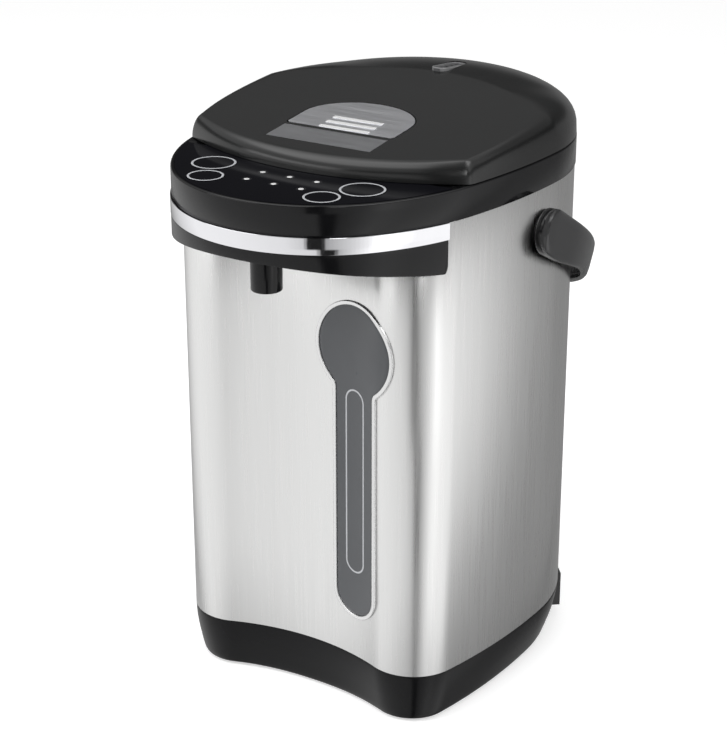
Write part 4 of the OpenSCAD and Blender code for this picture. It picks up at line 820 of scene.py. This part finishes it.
def on_front(loop, out):
    """Points (x, z) of a front view laid on the right half of the body's front, between the points of
    its outline, and moved out square to it."""
    front = np.flatnonzero((BODY[:, 1] < -CORNER_Y + 25) & (BODY[:, 0] > -8))
    front = front[np.argsort(BODY[front, 0])]
    y, nx, ny = (np.interp(loop[:, 0], BODY[front, 0], value[front]) for value in (BODY[:, 1], *BODY_N.T))
    return np.column_stack([loop[:, 0] + out * nx, y + out * ny, loop[:, 1]])


def window():
    """The frame round the window, the smoked lens in it and the printed slot on its stem, all laid on
    the hollow front; the lens closes on the line between the middles of its two round ends."""
    section = [(0, -.4), (0, 1.25), (.12, 1.48), (.4, 1.6), (2.0, 1.6), (2.4, 1.45), (2.6, 1.1), (2.6, -.4)]
    frame_strip = hoop("window_frame_strip", [on_front(window_loop(g), out) for g, out in section],
                       FRAME_SILVER, sharp=50)
    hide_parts("window_frame")
    edge = window_loop(-.1)
    spine = np.column_stack([np.full(len(edge), WINDOW_X),
                             np.clip(edge[:, 1], STEM_Z + STEM_HALF, WINDOW_Z)])
    rings = [on_front(edge, -.6), on_front(edge, .7)]
    rings += [on_front(spine + k * (edge - spine), .9) for k in (.985, .9, .7, .4, .15, .03)]
    lens = bar("window_lens_smoked", rings, SMOKED, sharp=50)
    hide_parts("window_lens")

    def mark_loop(grow):
        cap = (MARK_HALF + grow) * sweep(0, 180, 25)
        low, high = MARK_LOW + MARK_HALF, MARK_HIGH - MARK_HALF
        return np.concatenate([cap + [WINDOW_X, high], -cap + [WINDOW_X, low]])

    mark = hoop("level_slot_mark", [on_front(mark_loop(g), out) for g, out in
                                    ((0, .85), (.1, .98), (1.1, .98), (1.2, .85))], PRINT)


# ------------------------ handle
PIVOT = np.array([0, plan_place("handle_pins")[1], middle("handle_pins")[2]])
HANG = math.radians(30)
HANDLE_HALF, HANDLE_ARM, HANDLE_BEHIND = 120.5, 24.0, 29.5
HANDLE_REACH = (BODY_R + HANDLE_BEHIND) / math.cos(HANG)
STRAP_W, STRAP_T, STRAP_RISE, LIP_DEPTH, HOLLOW_DEPTH = 30.0, 5.0, 6.0, 3.3, .45
# how far from the pivot the strap's edge rises, its hollow deepens, and its lips start, fade and return
RISE_RUN, HOLLOW_RUN, LIP_START, LIP_FADE, LIP_RETURN = (5, 75), (16, 30), (-1, 1), (30, 58), (100, 120)
# half of the strap's section, from its outer face round the edge into the hollow: place across, place
# through the thickness, 1 on the lip, 1 in the hollow
STRAP_EDGE = np.array([(.6, .5, 0, 0), (.86, .42, 0, 0), (.97, .24, 0, 0), (1, 0, 0, 0), (1, -.3, 1, 0),
                       (.985, -.42, 1, 0), (.93, -.48, 1, 0), (.82, -.5, 1, 0), (.76, -.47, 1, 0),
                       (.7, -.5, 0, 1)])
STRAP_SECTION = np.concatenate([STRAP_EDGE, (STRAP_EDGE * [-1, 1, 1, 1])[::-1]])


def handle_strap():
    """The bail: a strap carried along straight arms and a half ellipse. Its ends are round and its lower
    edge rises behind the pot by an eased step. Its inner face is hollowed between two lips, which are
    deep at the ends and at the grip, and gone where the raised bail passes the lid."""
    arm = np.concatenate([np.linspace(-STRAP_W / 2, 0, 14)[1:-1], np.linspace(0, HANDLE_ARM, 9)[:-1]])
    right = np.column_stack([np.full(len(arm), HANDLE_HALF), arm])
    size = np.array([HANDLE_HALF, HANDLE_REACH - HANDLE_ARM])
    bow = sweep(0, 180, 97)
    path = np.concatenate([right, [0, HANDLE_ARM] + size * bow, (right * [-1, 1])[::-1]])
    out = np.concatenate([0 * right + [1, 0], bow / size, 0 * right - [1, 0]])
    out /= np.linalg.norm(out, axis=1)[:, None]
    v = path[:, 1]
    half = np.where(v < 0, np.sqrt(np.maximum((STRAP_W / 2) ** 2 - v ** 2, 1)), STRAP_W / 2)
    lift = STRAP_RISE * eased(part_way(v, *RISE_RUN))
    hollow = HOLLOW_DEPTH * part_way(v, *HOLLOW_RUN)
    lip = part_way(v, *LIP_START) * (1 - part_way(v, *LIP_FADE)) + part_way(v, *LIP_RETURN)
    lip *= LIP_DEPTH / STRAP_T
    across, through, on_lip, in_hollow = STRAP_SECTION.T
    d = STRAP_T * (through - on_lip * lip[:, None] + in_hollow * hollow[:, None])
    z = across * half[:, None]
    z = np.where(z < 0, z + lift[:, None], z)
    x, y = (path[:, None] + out[:, None] * d[..., None]).transpose(2, 0, 1)
    c, s = math.cos(HANG), math.sin(HANG)
    strap = bar("bail_strap", np.stack([x, y * c + z * s, z * c - y * s], -1) + PIVOT, HANDLE_BLACK,
                body="handle", sharp=45)
    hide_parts("handle")


# a drum's section: place along the pivot's axis, and how much its radius is less than the strap's half width
DRUM_SECTION = ((118.4, .4), (117.6, .1), (115.0, 0), (114.2, .25), (113.7, .9), (113.6, 2), (113.9, 2.6),
                (118.0, 2.6))
PIN_R, PIN_ENDS, PIN_SIDES = 3.9, (108.0, 122.4), 48


def handle_ends():
    """The drum behind each round end of the bail: a section turned about the pivot's axis, from the
    strap in to just clear of the steel."""
    for side, word in ((1, "right"), (-1, "left")):
        rings = [at_side(PIVOT[1:] + (STRAP_W / 2 - inset) * circle(72), side * x)
                 for x, inset in DRUM_SECTION]
        drum = hoop("bail_drum_" + word, rings, GLOSS_BLACK, body="handle", sharp=50)


def pins():
    """Two smooth pins in the pivot's axis, from inside the bosses to just under the bail's face."""
    rim, n = PIVOT[1:] + PIN_R * circle(PIN_SIDES), PIN_SIDES
    points, faces = [], []
    for side in (1, -1):
        first = len(points) * n
        points += [at_side(rim, side * x) for x in PIN_ENDS[::side]]
        faces += [tuple(first + i for i in f) for f in sheet_faces(2, n, False, True)]
        faces += [tuple(range(first, first + n))[::-1], tuple(range(first + n, first + 2 * n))]
    made = piece("bail_pins", np.concatenate(points), faces, ZINC)
    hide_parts("handle_pins")


for build in (body_skin, base_wall, head_collar, band, visor_hood, nozzle, key_prints, signal_dots,
              lid_dome, vent, window, handle_strap, handle_ends, pins):
    build()

FINISHES = {
    "control_panel key_unlock key_reboil key_warm key_pour": PANEL_BLACK,
    "bottom_cover inlet_housing hinge_bracket": SATIN_BLACK,
    "handle_bosses": GLOSS_BLACK,
    "rubber_feet": RUBBER,
    "bottom_screws frame_screws lid_screws hinge_pin lever_pin latch_keeper latch_spring pump_motor": ZINC,
    "led_lenses": LENS,
    "control_board power_board": BOARD,
    "key_switches pot_ring temperature_sensor lid_liner": GREY_PLASTIC,
    "outlet_hose riser_hose inlet_hose pot_seal lid_gasket": SILICONE,
    "tilt_valve pump_body pump_cover pump_bracket impeller steam_valve latch_bolt": WHITE_PLASTIC,
    "level_tube": TUBE,
    "inner_pot inner_lid": POT_STEEL,
    "insulation_jacket": FELT,
    "keep_warm_band boil_dry_cutout": MICA,
    "boil_heater": ALUMINIUM,
    "inlet_pins": BRASS,
    "drive_magnet": MAGNET,
    "latch_plate": PLATE_SHADED_GREY,
    "latch_lever": LEVER_GREY,
}
for names, finish in FINISHES.items():
    for name in names.split():
        for place in NODES[name].material_slots:
            place.material = finish


# ------------------------ studio
CAMERA_AT, CAMERA_TO = (.6454, -1.0726 + AXIS_Y / 1000, .6948), (-.0301, AXIS_Y / 1000, .1865)
LENS_MM, SENSOR_MM = 97.2, 36
# tones of the room as (degrees round from the front, tone): what the head sees and what the body sees
# differ only in where the dark gap beside the camera lies; then tones as (rise of the view, tone)
ROOM_LEFT = [(-180, .3), (-135, .25), (-100, .85), (-75, 1.15), (-35, 1.12), (5, 1.0)]
ROOM_RIGHT = [(118, 1.3), (127, .9), (138, .42), (152, .3), (180, .32)]
HEAD_GAP = [(19, .8), (21, .02), (33, .02), (35, .5), (56, .9), (66, 1.2), (75, 2.0), (90, 1.3)]
BODY_GAP = [(27, .9), (31, .02), (41, .02), (45, .6), (57, .95), (75, 1.6), (90, 1.25)]
ROOM_LEVELS = [(-.95, .6), (-.8, 1), (.13, 1), (.2, .15), (.32, .15), (.38, .85), (.54, .85), (.66, 1.2),
               (.74, 3), (.98, 3)]
BODY_RISE, HEAD_RISE = -.37, -.32


def aim(made, place, target):
    """Stands an object at a place with its -Z axis towards a target."""
    way = np.array(target) - np.array(place)
    way = way / np.linalg.norm(way)
    made.location = place
    made.rotation_euler = (math.acos(-way[2]), 0, math.atan2(way[1], way[0]) - math.pi / 2)


def camera():
    """The camera: to the right of the front and above it, level, with no shift."""
    data = bpy.data.cameras.new("camera")
    data.lens, data.sensor_width, data.sensor_fit = LENS_MM, SENSOR_MM, "AUTO"
    data.clip_start, data.clip_end = .05, 20
    made = bpy.data.objects.new("camera", data)
    bpy.context.scene.collection.objects.link(made)
    aim(made, CAMERA_AT, CAMERA_TO)
    bpy.context.scene.camera = made


def softbox(name, azimuth, height, distance, width, tall, power, mirrored=True):
    """A soft area lamp at an azimuth from the front, positive to the right, looking at the pot."""
    data = bpy.data.lights.new(name, "AREA")
    data.shape, data.size, data.size_y, data.energy = "RECTANGLE", width, tall, power
    a = math.radians(azimuth)
    made = bpy.data.objects.new(name, data)
    made.visible_glossy = mirrored
    bpy.context.scene.collection.objects.link(made)
    aim(made, (distance * math.sin(a), -distance * math.cos(a), height), (0, 0, .2))


def tone_ramp(tree, value, low, high, stops):
    """The colour socket of a ramp over a value from low to high, with grey tones at the stops' places."""
    share = node(tree, "MapRange", {"Value": value, "From Min": low, "From Max": high})
    ramp = node(tree, "ValToRGB", {"Fac": share.outputs["Result"]})
    elements = ramp.color_ramp.elements
    for _ in stops[2:]:
        elements.new(1)
    for stop, (place, tone) in zip(elements, stops):
        stop.position = (place - low) / (high - low)
        stop.color = (tone, tone, tone, 1)
    return ramp.outputs["Color"]


def surround():
    """The room: white to the camera, and to glossy surfaces a studio whose tone changes with the
    direction round the pot, with a dark gap beside the camera, times a tone that changes with how much
    the direction rises. Directions that fall steeply, as the body mirrors them, get the body's gap, and
    the others the head's."""
    world = bpy.data.worlds.new("studio_room")
    bpy.context.scene.world = world
    world.use_nodes = True
    tree = world.node_tree
    tree.nodes.clear()
    way = node(tree, "SeparateXYZ", {0: node(tree, "TexCoord").outputs["Generated"]}).outputs
    back = node(tree, "Math", {0: way["Y"], 1: -1}, operation="MULTIPLY").outputs[0]
    turn = node(tree, "Math", {0: way["X"], 1: back}, operation="ARCTAN2").outputs[0]
    body, head = (
        tone_ramp(tree, turn, -math.pi, math.pi,
                  [(math.radians(place), tone) for place, tone in ROOM_LEFT + gap + ROOM_RIGHT])
        for gap in (BODY_GAP, HEAD_GAP))
    upper = node(tree, "MapRange", {"Value": way["Z"], "From Min": BODY_RISE, "From Max": HEAD_RISE})
    gaps = node(tree, "Mix", {0: upper.outputs["Result"], 6: body, 7: head}, data_type="RGBA")
    level = tone_ramp(tree, way["Z"], -1, 1, ROOM_LEVELS)
    room = node(tree, "Mix", {0: 1, 6: gaps.outputs[2], 7: level}, data_type="RGBA", blend_type="MULTIPLY")
    path = node(tree, "LightPath").outputs
    white, plain = (node(tree, "Background", {"Strength": strength}).outputs[0] for strength in (1, .6))
    studio = node(tree, "Background", {"Color": room.outputs[2]}).outputs[0]
    lit = node(tree, "MixShader", {0: path["Is Glossy Ray"], 1: plain, 2: studio}).outputs[0]
    seen = node(tree, "MixShader", {0: path["Is Camera Ray"], 1: lit, 2: white}).outputs[0]
    node(tree, "OutputWorld", {"Surface": seen})


def floor():
    """A wide pale floor, flat near the pot: to the camera its light shade is added to white, so only the
    pot's shadow shows, and what the metal reflects passes through it to the room."""
    made, tree, shader = blank_material("floor_white", Base_Color=(.86, .86, .86, 1), Roughness=.9,
                                        Specular_IOR_Level=0)
    path = node(tree, "LightPath").outputs
    glow = node(tree, "Math", {0: path["Is Camera Ray"], 1: .5}, operation="MULTIPLY").outputs[0]
    glowing = node(tree, "Emission", {"Strength": glow}).outputs[0]
    both = node(tree, "AddShader", {0: shader.outputs[0], 1: glowing}).outputs[0]
    clear = node(tree, "BsdfTransparent").outputs[0]
    mix = node(tree, "MixShader", {0: path["Is Glossy Ray"], 1: both, 2: clear}).outputs[0]
    feed(tree.nodes["Material Output"], {"Surface": mix})
    sides, radii = 96, (30, 400, 2000, 12000)
    points = np.concatenate([at_height(r * circle(sides), 0) for r in radii] + [np.zeros((1, 3))])
    faces = [tuple(f)[::-1] for f in sheet_faces(len(radii), sides, False, True)]
    faces += [(sides * len(radii), j, (j + 1) % sides) for j in range(sides)]
    piece("floor", points - [0, 0, .02], faces, made, stage=True)


camera()
surround()
floor()
# name, degrees round from the front, height, distance, width, height of the lamp, power
softbox("key_light", -40, 1.25, 1.5, 1.1, 1.3, 14, mirrored=False)
softbox("rim_light", -36, .75, 1.5, 1.2, .3, 3)
softbox("corner_light", 42, .9, 1.5, .3, .3, 1.6)
softbox("fill_light", 80, .9, 1.5, .9, 1.2, 9, mirrored=False)
softbox("top_light", 20, 1.7, .5, .9, .7, 6, mirrored=False)

bpy.context.scene.view_settings.view_transform = "Standard"
